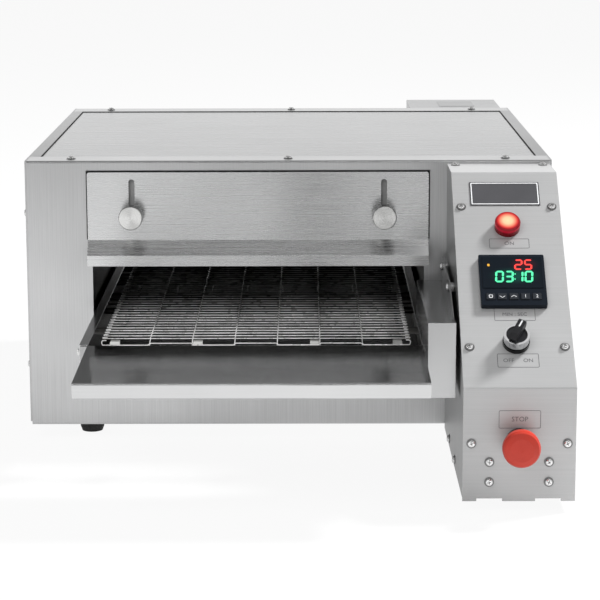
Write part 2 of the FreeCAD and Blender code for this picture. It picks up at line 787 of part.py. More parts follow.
pinion = toothed("pinion", "pinion_radius", "chain_width", "pinion_teeth", "pinion_radius * 0.17",
                 "motor_shaft + running_gap / 6")
place(pinion, ("chain_plane", "motor_axis", "motor_height"))
part("motor_sprocket", group("motor_sprocket", [
    pinion, rod("motor_shaft_rod", ("chain_plane - chain_width / 2 - 1", "motor_axis", "motor_height"), "x",
                "motor_shaft", "gearbox_face + 12 - chain_plane + chain_width / 2")]))


def chain_loop():
    """The chain as a plain band round wheel and pinion, clear of their teeth."""
    big, small = value("wheel_radius + running_gap"), value("pinion_radius + running_gap")
    thick, width = value("chain_thickness"), value("chain_width")
    y0, z0 = value("-shaft_reach"), value("shaft_height")
    y1, z1 = value("motor_axis"), value("motor_height")
    plane = value("chain_plane - chain_width / 2")
    span = math.hypot(y1 - y0, z1 - z0)
    along = math.atan2(z1 - z0, y1 - y0)
    spread = math.acos((big - small) / span)
    faces = []
    for grow in (thick, 0):
        def rim(y, z, radius, angle):
            return FreeCAD.Vector(plane, y + (radius + grow) * math.cos(angle), z + (radius + grow) * math.sin(angle))
        a, b = rim(y0, z0, big, along + spread), rim(y0, z0, big, along - spread)
        c, d = rim(y1, z1, small, along - spread), rim(y1, z1, small, along + spread)
        back = Part.Arc(a, rim(y0, z0, big, along + math.pi), b).toShape()
        nose = Part.Arc(c, rim(y1, z1, small, along), d).toShape()
        edges = [back, Part.makeLine(b, c), nose, Part.makeLine(d, a)]
        faces.append(Part.Face(Part.Wire(edges)))
    return faces[0].cut(faces[1]).extrude(FreeCAD.Vector(width, 0, 0)).Solids[0]


chain = doc.addObject("Part::Feature", "drive_chain")
chain.Shape = chain_loop()
part("drive_chain", chain)

plate = block("motor_plate_sheet", ("control_left + panel_gauge", "motor_axis - gearbox_side / 2 - 8",
                                    "motor_height - gearbox_side / 2 - 8"),
              ("gearbox_face", "motor_axis + gearbox_side / 2 + 8", "motor_height + gearbox_side / 2 + 8"))
part("motor_plate", cut("motor_plate", plate, [
    rod("motor_plate_hole", ("control_left - 5", "motor_axis", "motor_height"), "x", "motor_shaft + 3", "20")]))
gearbox = block("gearbox", ("gearbox_face", "motor_axis - gearbox_side / 2", "motor_height - gearbox_side / 2"),
                ("gearbox_face + gearbox_length", "motor_axis + gearbox_side / 2",
                 "motor_height + gearbox_side / 2"))
stator = rod("stator", ("gearbox_face + gearbox_length - 1", "motor_axis", "motor_height"), "x",
             "motor_radius", "motor_length + 1")
part("gear_motor", cut("gear_motor", fuse("gear_motor_joined", [gearbox, stator]), [
    rod("gear_motor_bore", ("gearbox_face - 5", "motor_axis", "motor_height"), "x",
        "motor_shaft + running_gap", "20")]))

GUARD_SCREWS = [("-(half_depth + 30)", "guard_top + guard_flange - 9"),
                ("-(half_depth + 144)", "guard_top + guard_flange - 13")]
guard_outer = block("guard_outer", ("guard_left", "guard_front", "guard_low"),
                    ("guard_right", "-half_depth", "guard_top"))
guard_inner = block("guard_inner", ("guard_left + panel_gauge", "guard_front + panel_gauge",
                                    "guard_low + panel_gauge"),
                    ("guard_right - panel_gauge", "-half_depth + 5", "guard_top - panel_gauge"))
guard_notch = block("guard_notch", ("guard_left - 5", "-tray_tail - 2", "guard_low - 5"),
                    ("rail_right + 4", "-half_depth + 5", "rail_top + 1"))
guard_fin = body("guard_fin")
pad(guard_fin, "guard_fin_sheet", corner_sketch(guard_fin, "guard_fin_outline", "YZ_Plane", [
    ("-(half_depth + 16)", "guard_top - 3"), ("-(half_depth + 16)", "guard_top + guard_flange"),
    ("-(half_depth + 152)", "guard_top + guard_flange - 5"), ("guard_front + 28", "guard_top - 3")]),
    "panel_gauge")
place(guard_fin, ("guard_right - panel_gauge", "0", "0"))
guard_tools = [guard_notch, rod("guard_shaft_hole", ("guard_right - 10", "motor_axis", "motor_height"), "x",
                                "motor_shaft + 3", "20")]
for index, (y, z) in enumerate(GUARD_SCREWS):
    guard_tools.append(rod(f"guard_screw_hole_{index}", ("guard_right - 10", y, z), "x", "screw_hole", "20"))
guard_pieces = [cut("guard_shell", guard_outer, [guard_inner]), guard_fin]
for index, (y, z) in enumerate(GUARD_SCREWS):
    guard_pieces.append(rod(f"guard_sleeve_{index}", ("guard_right - panel_gauge / 2", y, z), "x",
                            "screw_washer", "control_left - guard_right + panel_gauge / 2"))
guard_shell = fuse("guard_joined", guard_pieces)
part("drive_guard", cut("drive_guard", guard_shell, guard_tools))

# Trays: a sloping sheet with a hemmed lip, side walls and ears that bolt inside the rails.

tray_bend = body("tray_bend")
pad(tray_bend, "tray_sheet", corner_sketch(tray_bend, "tray_outline", "YZ_Plane", [
    ("-tray_tail", "tray_back"), ("-tray_nose", "tray_front"), ("-tray_nose", "tray_lip"),
    ("-tray_nose + tray_hem", "tray_lip"), ("-tray_nose + tray_hem", "tray_lip + rail_gauge"),
    ("-tray_nose + rail_gauge", "tray_lip + rail_gauge"),
    ("-tray_nose + rail_gauge", "tray_front - rail_gauge"), ("-tray_tail", "tray_back - rail_gauge")]),
    "tray_width", centred=True)
nose = value("-tray_nose")
round_edges(tray_bend, "tray_bends", "bend_radius * 0.8", lambda c, length: (
    abs(c.x) < 0.01 and abs(c.y - nose) < 0.01 and length > 50))
place(tray_bend, ("conveyor_offset", "0", "0"))
tray_pieces = [tray_bend]
tray_holes = []
for sign, side in ((-1, "left"), (1, "right")):
    wall = body(f"tray_wall_{side}")
    pad(wall, f"tray_wall_{side}_sheet", corner_sketch(wall, f"tray_wall_{side}_outline", "YZ_Plane", [
        ("-tray_tail", "tray_back - rail_gauge / 2"),
        ("-tray_nose + rail_gauge / 2", "tray_front - rail_gauge / 2"),
        ("-tray_nose + rail_gauge / 2", "tray_lip + rail_gauge / 2"),
        ("-tray_tail", "tray_lip + rail_gauge / 2")]), "rail_gauge")
    edge = f"(conveyor_offset + {sign} * tray_width / 2)"
    inner = f"(conveyor_offset + {sign} * (rail_half - rail_gauge))"
    place(wall, (edge if sign < 0 else f"{edge} - rail_gauge", "0", "0"))
    spread = (edge, inner) if sign > 0 else (inner, edge)
    grow = ("- rail_gauge", "") if sign > 0 else ("", "+ rail_gauge")
    ear = block(f"tray_ear_{side}", (f"{spread[0]} {grow[0]}", "-tray_tail - rail_gauge", "ear_low"),
                (f"{spread[1]} {grow[1]}", "-tray_tail", "tray_back - rail_gauge / 2"))
    tab_low = inner if sign < 0 else f"{inner} - rail_gauge"
    tab = block(f"tray_tab_{side}", (tab_low, "-tray_tail - rail_gauge", "ear_low"),
                (f"{tab_low} + rail_gauge", "-tray_tail + ear_depth",
                 "rail_top - rail_gauge - running_gap"))
    tray_pieces += [wall, ear, tab]
for row in ("low", "high"):
    tray_holes.append(rod(f"tray_hole_{row}", ("rail_left - 5", "-(rail_end - tray_bolt_inset)",
                                               f"tray_bolt_{row}"), "x", "screw_hole", "rail_spacing + 10"))
front_tray = part("front_tray", cut("front_tray", fuse("tray_joined", tray_pieces), tray_holes))
part("rear_tray", group("rear_tray", [
    copy("rear_tray_copy", front_tray, ("2 * conveyor_offset", "0", "0"), (0, 0, 1), "180")]))

# Gates: a bent plate with two slots, carried on studs and clamped by knobs.


def gate_line(shift):
    """Side line of the gate from top to lip, shifted back by part of its gauge."""
    lean = f"({shift}) * tan(gate_lean / 2)"
    return [(f"-gate_face + {shift}", "gate_top"), (f"-gate_face + {shift}", f"gate_bend - {lean}"),
            (f"-gate_face - gate_lip_reach + {shift}", f"gate_lip_bend - {lean}"),
            (f"-gate_face - gate_lip_reach + {shift}", "gate_lip_end")]


gate = body("gate_bend_body")
pad(gate, "gate_sheet", corner_sketch(gate, "gate_outline", "YZ_Plane",
                                      gate_line("0") + gate_line("gate_gauge")[::-1]),
    "gate_width", centred=True)
gate_high, gate_side = value("gate_top"), value("gate_width / 2")
round_edges(gate, "gate_corners", "gate_corner", lambda c, length: (
    abs(c.z - gate_high) < 0.01 and abs(abs(c.x) - gate_side) < 0.01))
place(gate, ("conveyor_offset", "0", "0"))
slots = []
for sign, side in ((-1, "left"), (1, "right")):
    line = f"(conveyor_offset + {sign} * slot_spacing / 2)"
    slots.append(fuse(f"gate_slot_{side}", [
        block(f"gate_slot_{side}_middle", (f"{line} - slot_radius", "-gate_face - 5", "slot_low"),
              (f"{line} + slot_radius", "-gate_face + 5", "slot_top - slot_radius")),
        rod(f"gate_slot_{side}_low", (line, "-gate_face - 5", "slot_low"), "y", "slot_radius", "10"),
        rod(f"gate_slot_{side}_top", (line, "-gate_face - 5", "slot_top - slot_radius"), "y",
            "slot_radius", "10")]))
front_gate = part("front_gate", cut("front_gate", gate, slots))
part("rear_gate", group("rear_gate", [
    copy("rear_gate_copy", front_gate, ("2 * conveyor_offset", "0", "0"), (0, 0, 1), "180")]))

stud = turned("stud", [
    ("0", "-panel_gauge - 6"), ("stud_radius + 3", "-panel_gauge - 6"), ("stud_radius + 3", "-panel_gauge"),
    ("stud_radius", "-panel_gauge"), ("stud_radius", "0"), ("stud_collar", "0"),
    ("stud_collar", "gate_gap - running_gap"), ("stud_radius", "gate_gap - running_gap"),
    ("stud_radius", "gate_gap + gate_gauge + knob_length * 0.75"),
    ("0", "gate_gap + gate_gauge + knob_length * 0.75")])
knob = turned("knob", [
    ("stud_radius + running_gap", "0"), ("knob_neck", "0"), ("knob_neck", "knob_neck_length"),
    ("knob_radius - knob_edge", "knob_neck_length"), ("knob_radius", "knob_neck_length + knob_edge"),
    ("knob_radius", "knob_length - knob_edge"), ("knob_radius - knob_edge", "knob_length"),
    ("0", "knob_length"), ("0", "knob_length * 0.85"),
    ("stud_radius + running_gap", "knob_length * 0.85")])
studs = []
for end, heading in (("front", "-y"), ("rear", "y")):
    sense = -1 if end == "front" else 1
    for sign, side in ((-1, "left"), (1, "right")):
        spot = (f"conveyor_offset + {sign} * slot_spacing / 2", f"{sense} * half_depth", "stud_height")
        studs.append(copy(f"stud_{end}_{side}", stud, spot, *TURNS[heading]))
        grip = (spot[0], f"{sense} * (gate_face + running_gap)", spot[2])
        part(f"{end}_{side}_knob", group(f"{end}_{side}_knob", [
            copy(f"knob_{end}_{side}", knob, grip, *TURNS[heading])]))
part("gate_studs", group("gate_studs", studs))

# Console skin: a bent panel over a housing of walls, floor and flanges.


def console_line(inset, rear):
    """Upper side line of the console, inset from its skin, from the rear to the lower knee."""
    return [(rear, f"control_top - ({inset})"),
            (f"slope_start + ({inset}) * tan(slope_angle / 2)", f"control_top - ({inset})"),
            (f"control_front + ({inset})", f"control_knee - ({inset}) * tan(45deg - slope_angle / 2)")]


skin = body("console_skin")
inner_line = console_line("control_gauge", "-half_depth") + [("control_front + control_gauge", "control_base")]
pad(skin, "console_skin_sheet", corner_sketch(skin, "console_skin_outline", "YZ_Plane", (
    console_line("0", "-half_depth") + [("control_front", "control_base")] + inner_line[::-1])),
    "control_width")
knee_y, knee_z = value("control_front"), value("control_knee")
peak_y, peak_z = value("slope_start"), value("control_top")
round_edges(skin, "console_skin_bends", "bend_radius", lambda c, length: length > 100 and (
    math.hypot(c.y - knee_y, c.z - knee_z) < 0.01 or math.hypot(c.y - peak_y, c.z - peak_z) < 0.01))
place(skin, ("control_left", "0", "0"))

PANEL_SCREWS = []
for sign in (-1, 1):
    across = f"{sign} * panel_screw_side"
    PANEL_SCREWS += [("flange", across, ""), ("slope", across, "panel_screw_upper"),
                     ("slope", across, "panel_screw_lower"), ("front", across, "panel_screw_front")]
CONTACTOR_SCREWS = [("front", f"{sign} * contactor_screw_side", f"contactor_screw_{row}")
                    for sign in (-1, 1) for row in ("low", "high")]


def console_spot(face, across, along, lift="0"):
    """A place on one of the console's three faces."""
    if face == "flange":
        return flange_spot(across, lift)
    return slope_spot(across, along, lift) if face == "slope" else front_spot(across, along, lift)


console_drills = [drill(f"panel_screw_hole_{i}", console_spot(*s, "-10"), "screw_hole", "20")
                  for i, s in enumerate(PANEL_SCREWS)]
unit_holes = [drill("lamp_hole", slope_spot("unit_offset", "lamp_place", "-10"), "unit_hole", "20"),
              drill("selector_hole", slope_spot("unit_offset", "selector_place", "-10"), "unit_hole", "20"),
              drill("estop_hole", front_spot("unit_offset", "estop_height", "-10"), "unit_hole", "20")]
cutout = doc.addObject("Part::Box", "controller_cutout")
half_cutout = "(controller_side / 2 - controller_wall + controller_fit)"
bind(cutout, "Length", f"2 * {half_cutout}")
bind(cutout, "Width", f"2 * {half_cutout}")
bind(cutout, "Height", "20")
place(cutout, *slope_spot(f"-{half_cutout}", f"controller_place + {half_cutout}", "-10"))
slot_holes = []
for index, (face, across, height) in enumerate(CONTACTOR_SCREWS):
    for step in (-1, 0, 1):
        slot_holes.append(drill(f"contactor_slot_{index}_{step + 1}",
                                front_spot(across, f"{height} + {step} * contactor_slot / 2", "-10"),
                                "screw_hole", "20"))
notches = []
for sign, side in ((-1, "left"), (1, "right")):
    ends = ("control_left + control_tab", "control_middle - control_centre_tab / 2")
    if sign > 0:
        ends = ("control_middle + control_centre_tab / 2", "control_right - control_tab")
    notches.append(block(f"console_notch_{side}", (ends[0], "control_front - 5", "control_base - 5"),
                         (ends[1], "control_front + 5", "control_floor")))
part("control_panel", cut("control_panel", skin, console_drills + unit_holes + slot_holes + [cutout] + notches))


def console_core(name, inset, start, length, rear, base):
    """A filled side profile of the console between two X places."""
    owner = body(name)
    outline = console_line(inset, rear) + [(f"control_front + ({inset})", base), (rear, base)]
    pad(owner, name + "_fill", corner_sketch(owner, name + "_outline", "YZ_Plane", outline), length)
    return place(owner, (start, "0", "0"))


shell = console_core("housing_fill", "control_gauge", "control_left", "control_width", "-half_depth",
                     "control_floor")
hollow = console_core("housing_hollow", "control_gauge + panel_gauge", "control_left + panel_gauge",
                      "control_width - 2 * panel_gauge", "-half_depth + 5", "control_floor + panel_gauge")
mouth = console_core("housing_mouth", "0", "control_left + housing_flange",
                     "control_width - 2 * housing_flange", "-half_depth + 5", "control_floor + panel_gauge")
housing_tools = [hollow, mouth] + console_drills
housing_tools.append(rod("housing_shaft_hole", ("control_left - 5", "motor_axis", "motor_height"), "x",
                         "motor_shaft + 3", "10"))
for index, (y, z) in enumerate(GUARD_SCREWS):
    housing_tools.append(rod(f"housing_screw_hole_{index}", ("control_left - 5", y, z), "x",
                             "screw_hole", "10"))
WALL_SCREWS = [("control_left", f"-(half_depth + wall_screw_{place})", "wall_screw_height", "-x")
               for place in ("near", "far")]
WALL_SCREWS += [(f"control_middle + {sign} * floor_screw_side", "control_front + floor_screw_inset",
                 "control_floor", "-z") for sign in (-1, 1)]
for index, (x, y, z, heading) in enumerate(WALL_SCREWS):
    start = (f"{x} - 5", y, z) if heading == "-x" else (x, y, f"{z} - 5")
    housing_tools.append(rod(f"housing_wall_hole_{index}", start, heading[1:], "screw_hole", "10"))
part("control_housing", cut("control_housing", shell, housing_tools))

# Console fittings, each drawn about its own axis with z = 0 on the skin.

name_plate = doc.addObject("Part::Box", "name_plate")
bind(name_plate, "Length", "plate_width")
bind(name_plate, "Width", "plate_height")
bind(name_plate, "Height", "plate_gauge")
part("name_plate", place(name_plate, *slope_spot("unit_offset - plate_width / 2", "plate_place + plate_height / 2")))

BACK = "-control_gauge"
lamp_base = turned("lamp_base", [
    ("0", "lamp_height * 0.6"), ("4", "lamp_height * 0.6"), ("4", "2"),
    ("lamp_radius - lens_wall - running_gap", "2"), ("lamp_radius - lens_wall - running_gap", "0"),
    ("unit_barrel", "0"), ("unit_barrel", BACK), ("unit_nut", BACK), ("unit_nut", f"{BACK} - 4"),
    ("unit_barrel - 1", f"{BACK} - 4"), ("unit_barrel - 1", "-36"), ("0", "-36")])
part("lamp_base", place(lamp_base, *slope_spot("unit_offset", "lamp_place")))
lens = turned("lamp_lens", [
    ("lamp_radius - lens_wall", "0"), ("lamp_radius", "0"), ("lamp_radius", "lamp_height * 0.82"),
    ("lamp_radius * 0.9", "lamp_height"), ("0", "lamp_height"), ("0", "lamp_height - lens_wall"),
    ("lamp_radius - lens_wall", "lamp_height - lens_wall")])
part("lamp_lens", place(lens, *slope_spot("unit_offset", "lamp_place")))

half_side = "controller_side / 2"
case = body("controller_case")
pad(case, "controller_face", corner_sketch(case, "controller_face_outline", "XY_Plane", [
    (f"-{half_side}", f"-{half_side}"), (half_side, f"-{half_side}"), (half_side, half_side),
    (f"-{half_side}", half_side)]), "controller_bezel")
round_edges(case, "controller_corners", "2", lambda c, length: (
    abs(abs(c.x) - value(half_side)) < 0.01 and abs(abs(c.y) - value(half_side)) < 0.01))
half_back = "controller_side / 2 - controller_wall"
pad(case, "controller_back", corner_sketch(case, "controller_back_outline", "XY_Plane", [
    (f"-({half_back})", f"-({half_back})"), (half_back, f"-({half_back})"), (half_back, half_back),
    (f"-({half_back})", half_back)]), "controller_depth", reverse=True)
KEY_FLOOR = "controller_bezel + key_proud - key_thickness - key_travel - key_gap"
well_wide = "(key_width / 2 + key_gap)"
well_tall = "(key_height / 2 + key_gap)"
well = corner_sketch(case, "key_well_outline", "XY_Plane", [
    (f"-2 * key_pitch - {well_wide}", f"-key_drop - {well_tall}"),
    (f"-2 * key_pitch + {well_wide}", f"-key_drop - {well_tall}"),
    (f"-2 * key_pitch + {well_wide}", f"-key_drop + {well_tall}"),
    (f"-2 * key_pitch - {well_wide}", f"-key_drop + {well_tall}")])
bind(well, "AttachmentOffset.Base.z", "controller_bezel")
doc.recompute()
key_well = case.newObject("PartDesign::Pocket", "key_well")
key_well.Profile = well
bind(key_well, "Length", f"controller_bezel - ({KEY_FLOOR})")
case.Tip = key_well
doc.recompute()
wells = case.newObject("PartDesign::LinearPattern", "key_wells")
wells.Originals = [key_well]
wells.Direction = (well, ["H_Axis"])
case.Tip = wells
bind(wells, "Length", "4 * key_pitch")
wells.Occurrences = 5
part("controller_case", place(case, *slope_spot("0", "controller_place")))

window = doc.addObject("Part::Box", "controller_window")
bind(window, "Length", "window_width")
bind(window, "Width", "window_height")
bind(window, "Height", "window_gauge")
part("controller_window", place(window, *slope_spot(
    "-window_width / 2", "controller_place - window_rise + window_height / 2", "controller_bezel")))
for number in range(5):
    key = doc.addObject("Part::Box", f"controller_key_{number + 1}")
    bind(key, "Length", "key_width")
    bind(key, "Width", "key_height")
    bind(key, "Height", "key_thickness")
    part(f"controller_key_{number + 1}", place(key, *slope_spot(
        f"{number - 2} * key_pitch - key_width / 2", "controller_place + key_drop + key_height / 2",
        "controller_bezel + key_proud - key_thickness")))

bezel = turned("selector_bezel", [
    ("0", "-46"), ("unit_barrel", "-46"), ("unit_barrel", f"{BACK} - 5"), ("unit_nut", f"{BACK} - 5"),
    ("unit_nut", BACK), ("unit_barrel", BACK), ("unit_barrel", "0"), ("selector_collar", "0"),
    ("selector_collar", "selector_collar_height"), ("selector_ring", "selector_collar_height"),
    ("selector_ring", "selector_height"), ("selector_recess", "selector_height"),
    ("selector_recess", "selector_height * 0.55"), ("selector_stem + running_gap", "selector_height * 0.55"),
    ("selector_stem + running_gap", "-20"), ("0", "-20")])
part("selector_bezel", place(bezel, *slope_spot("unit_offset", "selector_place")))
handle = turned("selector_knob", [
    ("0", "-18"), ("selector_stem", "-18"), ("selector_stem", "selector_height * 0.55 + running_gap"),
    ("selector_recess - running_gap", "selector_height * 0.55 + running_gap"),
    ("selector_recess - running_gap", "selector_height - 1"), ("0", "selector_height - 1")])
neck_ring = circle_sketch(handle, "selector_neck_outline", "XY_Plane", [("0", "0", "selector_blade / 2")])
bind(neck_ring, "AttachmentOffset.Base.z", "selector_height - 2")
pad(handle, "selector_neck", neck_ring, "3")
crown = "selector_height + running_gap"
lever = corner_sketch(handle, "selector_lever_outline", "XZ_Plane", [
    ("-selector_recess + 1", crown), ("selector_tip - 3", crown), ("selector_tip", f"{crown} + 3"),
    ("selector_tip", f"{crown} + selector_blade_rise - 1.5"),
    ("selector_tip - 2", f"{crown} + selector_blade_rise"),
    ("-selector_recess + 6", f"{crown} + selector_blade_rise * 0.7"),
    ("-selector_recess + 1", f"{crown} + selector_blade_rise * 0.3")])
lever.AttachmentOffset = FreeCAD.Placement(FreeCAD.Vector(), FreeCAD.Rotation(FreeCAD.Vector(0, 1, 0), 60))
bind(lever, "AttachmentOffset.Rotation.Angle", "(90 - selector_rest) * 1deg")
pad(handle, "selector_lever", lever, "selector_blade", centred=True)
part("selector_knob", place(handle, *slope_spot("unit_offset", "selector_place")))

estop_base = turned("estop_base", [
    ("0", "-52"), ("unit_barrel + 1", "-52"), ("unit_barrel + 1", f"{BACK} - 5"), ("unit_nut", f"{BACK} - 5"),
    ("unit_nut", BACK), ("unit_barrel", BACK), ("unit_barrel", "0"), ("estop_collar", "0"),
    ("estop_collar", "estop_collar_height"), ("estop_neck + 2 * running_gap", "estop_collar_height"),
    ("estop_neck + 2 * running_gap", "1"), ("estop_stem + running_gap", "1"),
    ("estop_stem + running_gap", "-estop_travel - 26"), ("0", "-estop_travel - 26")])
part("estop_base", place(estop_base, *front_spot("unit_offset", "estop_height")))
stem = rod("estop_stem", ("control_middle + unit_offset", "control_front + 25", "estop_height"), "-y", "estop_stem",
           "25 + estop_proud - 8")
part("estop_stem", stem)
head = turned("estop_head", [
    ("estop_stem + running_gap / 6", "1.5 + estop_travel"), ("estop_neck", "1.5 + estop_travel"),
    ("estop_neck", "estop_proud * 0.55"), ("estop_radius * 0.94", "estop_proud * 0.62"),
    ("estop_radius", "estop_proud * 0.68"), ("estop_radius", "estop_proud * 0.84"),
    ("estop_radius * 0.9", "estop_proud * 0.93"), ("estop_radius * 0.62", "estop_proud * 0.985"),
    ("0", "estop_proud"), ("0", "estop_proud - 8"), ("estop_stem + running_gap / 6", "estop_proud - 8")])
part("estop_head", place(head, *front_spot("unit_offset", "estop_height")))

# Switchgear, rear box and gland.

contactor_base = block("contactor_base", ("control_middle - contactor_width / 2", "control_front + control_gauge",
                                          "contactor_low"),
                       ("control_middle + contactor_width / 2", "control_front + control_gauge + 3",
                        "contactor_high"))
contactor_coil = block("contactor_coil", ("control_middle - contactor_width / 2 + 20",
                                          "control_front + control_gauge + 2", "contactor_low"),
                       ("control_middle + contactor_width / 2 - 20",
                        "control_front + control_gauge + contactor_depth", "contactor_high"))
contactor_tools = [drill(f"contactor_hole_{i}", front_spot(across, height, "-20"), "screw_hole", "30")
                   for i, (face, across, height) in enumerate(CONTACTOR_SCREWS)]
part("contactor", cut("contactor", fuse("contactor_joined", [contactor_base, contactor_coil]), contactor_tools))

box_outer = block("rear_box_outer", ("box_left", "half_depth", "box_low"), ("box_right", "box_back", "box_top"))
box_inner = block("rear_box_inner", ("box_left + panel_gauge", "half_depth - 5", "box_low + panel_gauge"),
                  ("box_right - panel_gauge", "box_back - panel_gauge", "box_top - panel_gauge"))
box_foot = block("rear_box_foot", ("box_left", "half_depth", "box_low - box_flange"),
                 ("box_right", "half_depth + panel_gauge", "box_low + panel_gauge / 2"))
BOX_SCREWS = [(f"box_left + box_width / 2 + {sign} * (box_width / 2 - 20)", "box_low - box_flange / 2")
              for sign in (-1, 1)]
gland_middle = "box_left + box_width / 2"
box_tools = [box_inner, rod("gland_hole", (gland_middle, "box_back - 10", "gland_height"), "y",
                            "gland_barrel + running_gap", "20")]
for index, (x, z) in enumerate(BOX_SCREWS):
    box_tools.append(rod(f"box_screw_hole_{index}", (x, "half_depth - 5", z), "y", "screw_hole", "20"))
box_shell = cut("rear_box_shell", box_outer, box_tools[:2])
part("rear_box", cut("rear_box", fuse("rear_box_joined", [box_shell, box_foot]), box_tools[2:]))
rear_holes = [rod(f"rear_box_panel_hole_{i}", (x, "half_depth - 10", z), "y", "screw_hole", "20")
              for i, (x, z) in enumerate(BOX_SCREWS)]
gland = turned("cable_gland", [
    ("gland_bore", "-panel_gauge - 7"), ("gland_nut", "-panel_gauge - 7"), ("gland_nut", "-panel_gauge"),
    ("gland_barrel", "-panel_gauge"), ("gland_barrel", "0"), ("gland_nut", "0"), ("gland_nut", "7"),
    ("gland_nut - 2", "9"), ("gland_nut - 2", "gland_reach - 2"), ("gland_nut - 4", "gland_reach"),
    ("gland_bore", "gland_reach")])
part("cable_gland", place(gland, (gland_middle, "box_back", "gland_height"), *TURNS["y"]))

strip = block("terminal_strip", (f"{gland_middle} - 42", "half_depth", "box_low + 45"),
              (f"{gland_middle} + 42", "half_depth + 24", "box_low + 71"))
strip_slots = [block(f"terminal_gap_{i}", (f"{gland_middle} - 37 + {i} * 13", "half_depth + 14", "box_low + 40"),
                     (f"{gland_middle} - 28 + {i} * 13", "half_depth + 30", "box_low + 75")) for i in range(6)]
part("terminal_block", cut("terminal_block", strip, strip_slots))

# Fasteners, all copies of the one screw.

cabinet_screws = []
for end in (-1, 1):
    for step in (-1, 0, 1):
        cabinet_screws.append(copy(f"top_screw_{end + 1}_{step + 1}", screw,
                                   (f"{step} * top_screw_pitch", f"{end} * (half_depth - top_screw_inset)",
                                    "top_height")))
    for sign, heading in ((-1, "-x"), (1, "x")):
        for row in ("low", "high"):
            cabinet_screws.append(copy(f"side_screw_{end + 1}_{sign + 1}_{row}", screw,
                                       (f"{sign} * half_width", f"{end} * (half_depth - side_screw_inset)",
                                        f"side_screw_{row}"), *TURNS[heading]))
for index, (x, z) in enumerate(BOX_SCREWS):
    cabinet_screws.append(copy(f"box_screw_{index}", screw, (x, "half_depth + panel_gauge", z), *TURNS["y"]))
for index, (y, z) in enumerate(GUARD_SCREWS):
    cabinet_screws.append(copy(f"guard_screw_{index}", screw, ("guard_right - panel_gauge", y, z),
                               *TURNS["-x"]))
part("cabinet_screws", group("cabinet_screws", cabinet_screws))

panel_screws = [copy(f"panel_screw_{i}", screw, *console_spot(*s))
                for i, s in enumerate(PANEL_SCREWS + CONTACTOR_SCREWS)]
panel_screws += [copy(f"wall_screw_{i}", screw, (x, y, z), *TURNS[heading])
                 for i, (x, y, z, heading) in enumerate(WALL_SCREWS)]
part("panel_screws", group("panel_screws", panel_screws))

tray_bolts = []
for end in (-1, 1):
    for edge, heading in (("left", "-x"), ("right", "x")):
        for row in ("low", "high"):
            tray_bolts.append(copy(f"tray_bolt_{end + 1}_{edge}_{row}", screw,
                                   (f"rail_{edge}", f"{end} * (rail_end - tray_bolt_inset)",
                                    f"tray_bolt_{row}"), *TURNS[heading]))
part("tray_bolts", group("tray_bolts", tray_bolts))

# Recompute, check and write one file per sub-part.

rear_cut = doc.getObject("rear_panel")
rear_bored = cut("rear_panel_bored", rear_cut, rear_holes)
PARTS = [(label, rear_bored if label == "rear_panel" else thing) for label, thing in PARTS]
rear_cut.Label = "rear_panel_blank"
rear_bored.Label = "rear_panel"
doc.recompute()

faults = [item.Name for item in doc.Objects if {"Invalid", "Error"} & set(item.State)]
faults += [label for label, thing in PARTS if thing.Shape.isNull() or not thing.Shape.isValid()]
if faults:
    raise RuntimeError("not sound: " + ", ".join(faults))
os.makedirs("parts", exist_ok=True)
for label, thing in PARTS:
    thing.Shape.exportStep(f"parts/{label}.step")
print(len(PARTS), "sub-parts written")
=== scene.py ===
# %% [markdown]
# # A tabletop conveyor oven in brushed steel
# The oven is a stainless cabinet with a wire belt running through it, a gate at each end of the
# tunnel, and a sloping console with a lamp, a timer, a switch and a stop button. The metalwork comes
# ready made as a frame of named nodes. This lesson dresses it: studio, finishes, and the small pieces
# that a drawing office leaves out, such as the bent wires of the belt and the print on the console.

# %% Load the frame
import bmesh
import bpy
import json
import math
import numpy as np
from mathutils import Matrix, Vector

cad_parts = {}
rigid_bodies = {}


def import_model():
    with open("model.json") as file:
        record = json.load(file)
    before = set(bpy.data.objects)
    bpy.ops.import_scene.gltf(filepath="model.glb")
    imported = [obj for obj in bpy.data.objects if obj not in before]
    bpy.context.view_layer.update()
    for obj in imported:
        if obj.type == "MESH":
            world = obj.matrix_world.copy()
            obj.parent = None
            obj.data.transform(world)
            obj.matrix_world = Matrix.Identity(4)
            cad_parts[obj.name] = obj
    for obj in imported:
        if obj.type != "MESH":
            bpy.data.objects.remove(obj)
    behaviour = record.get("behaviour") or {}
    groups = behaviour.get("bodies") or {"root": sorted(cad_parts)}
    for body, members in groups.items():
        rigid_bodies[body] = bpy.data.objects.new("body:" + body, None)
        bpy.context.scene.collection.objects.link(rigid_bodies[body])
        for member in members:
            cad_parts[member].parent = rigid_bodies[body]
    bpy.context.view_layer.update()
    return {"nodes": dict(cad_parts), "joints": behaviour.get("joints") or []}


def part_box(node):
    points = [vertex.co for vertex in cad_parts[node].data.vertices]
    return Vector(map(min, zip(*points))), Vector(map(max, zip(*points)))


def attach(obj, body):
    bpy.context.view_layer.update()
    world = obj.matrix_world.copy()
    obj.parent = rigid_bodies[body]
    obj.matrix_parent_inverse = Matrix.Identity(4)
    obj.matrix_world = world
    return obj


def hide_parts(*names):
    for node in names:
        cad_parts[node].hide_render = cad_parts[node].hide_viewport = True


for left_over in list(bpy.data.objects):
    bpy.data.objects.remove(left_over)
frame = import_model()
nodes = frame["nodes"]
joints = {joint["name"]: joint for joint in frame["joints"]}
scene = bpy.context.scene
scene.view_settings.view_transform = "Standard"
MM = 0.001

# %% [markdown]
# ## The camera
# A catalogue camera stands well back with a long lens, so that the upright edges stay nearly parallel.
# It could be aimed by eye. Here its place, tilt and lens were worked out from the corners of the cabinet,
# the console and the tray, which is more exact.

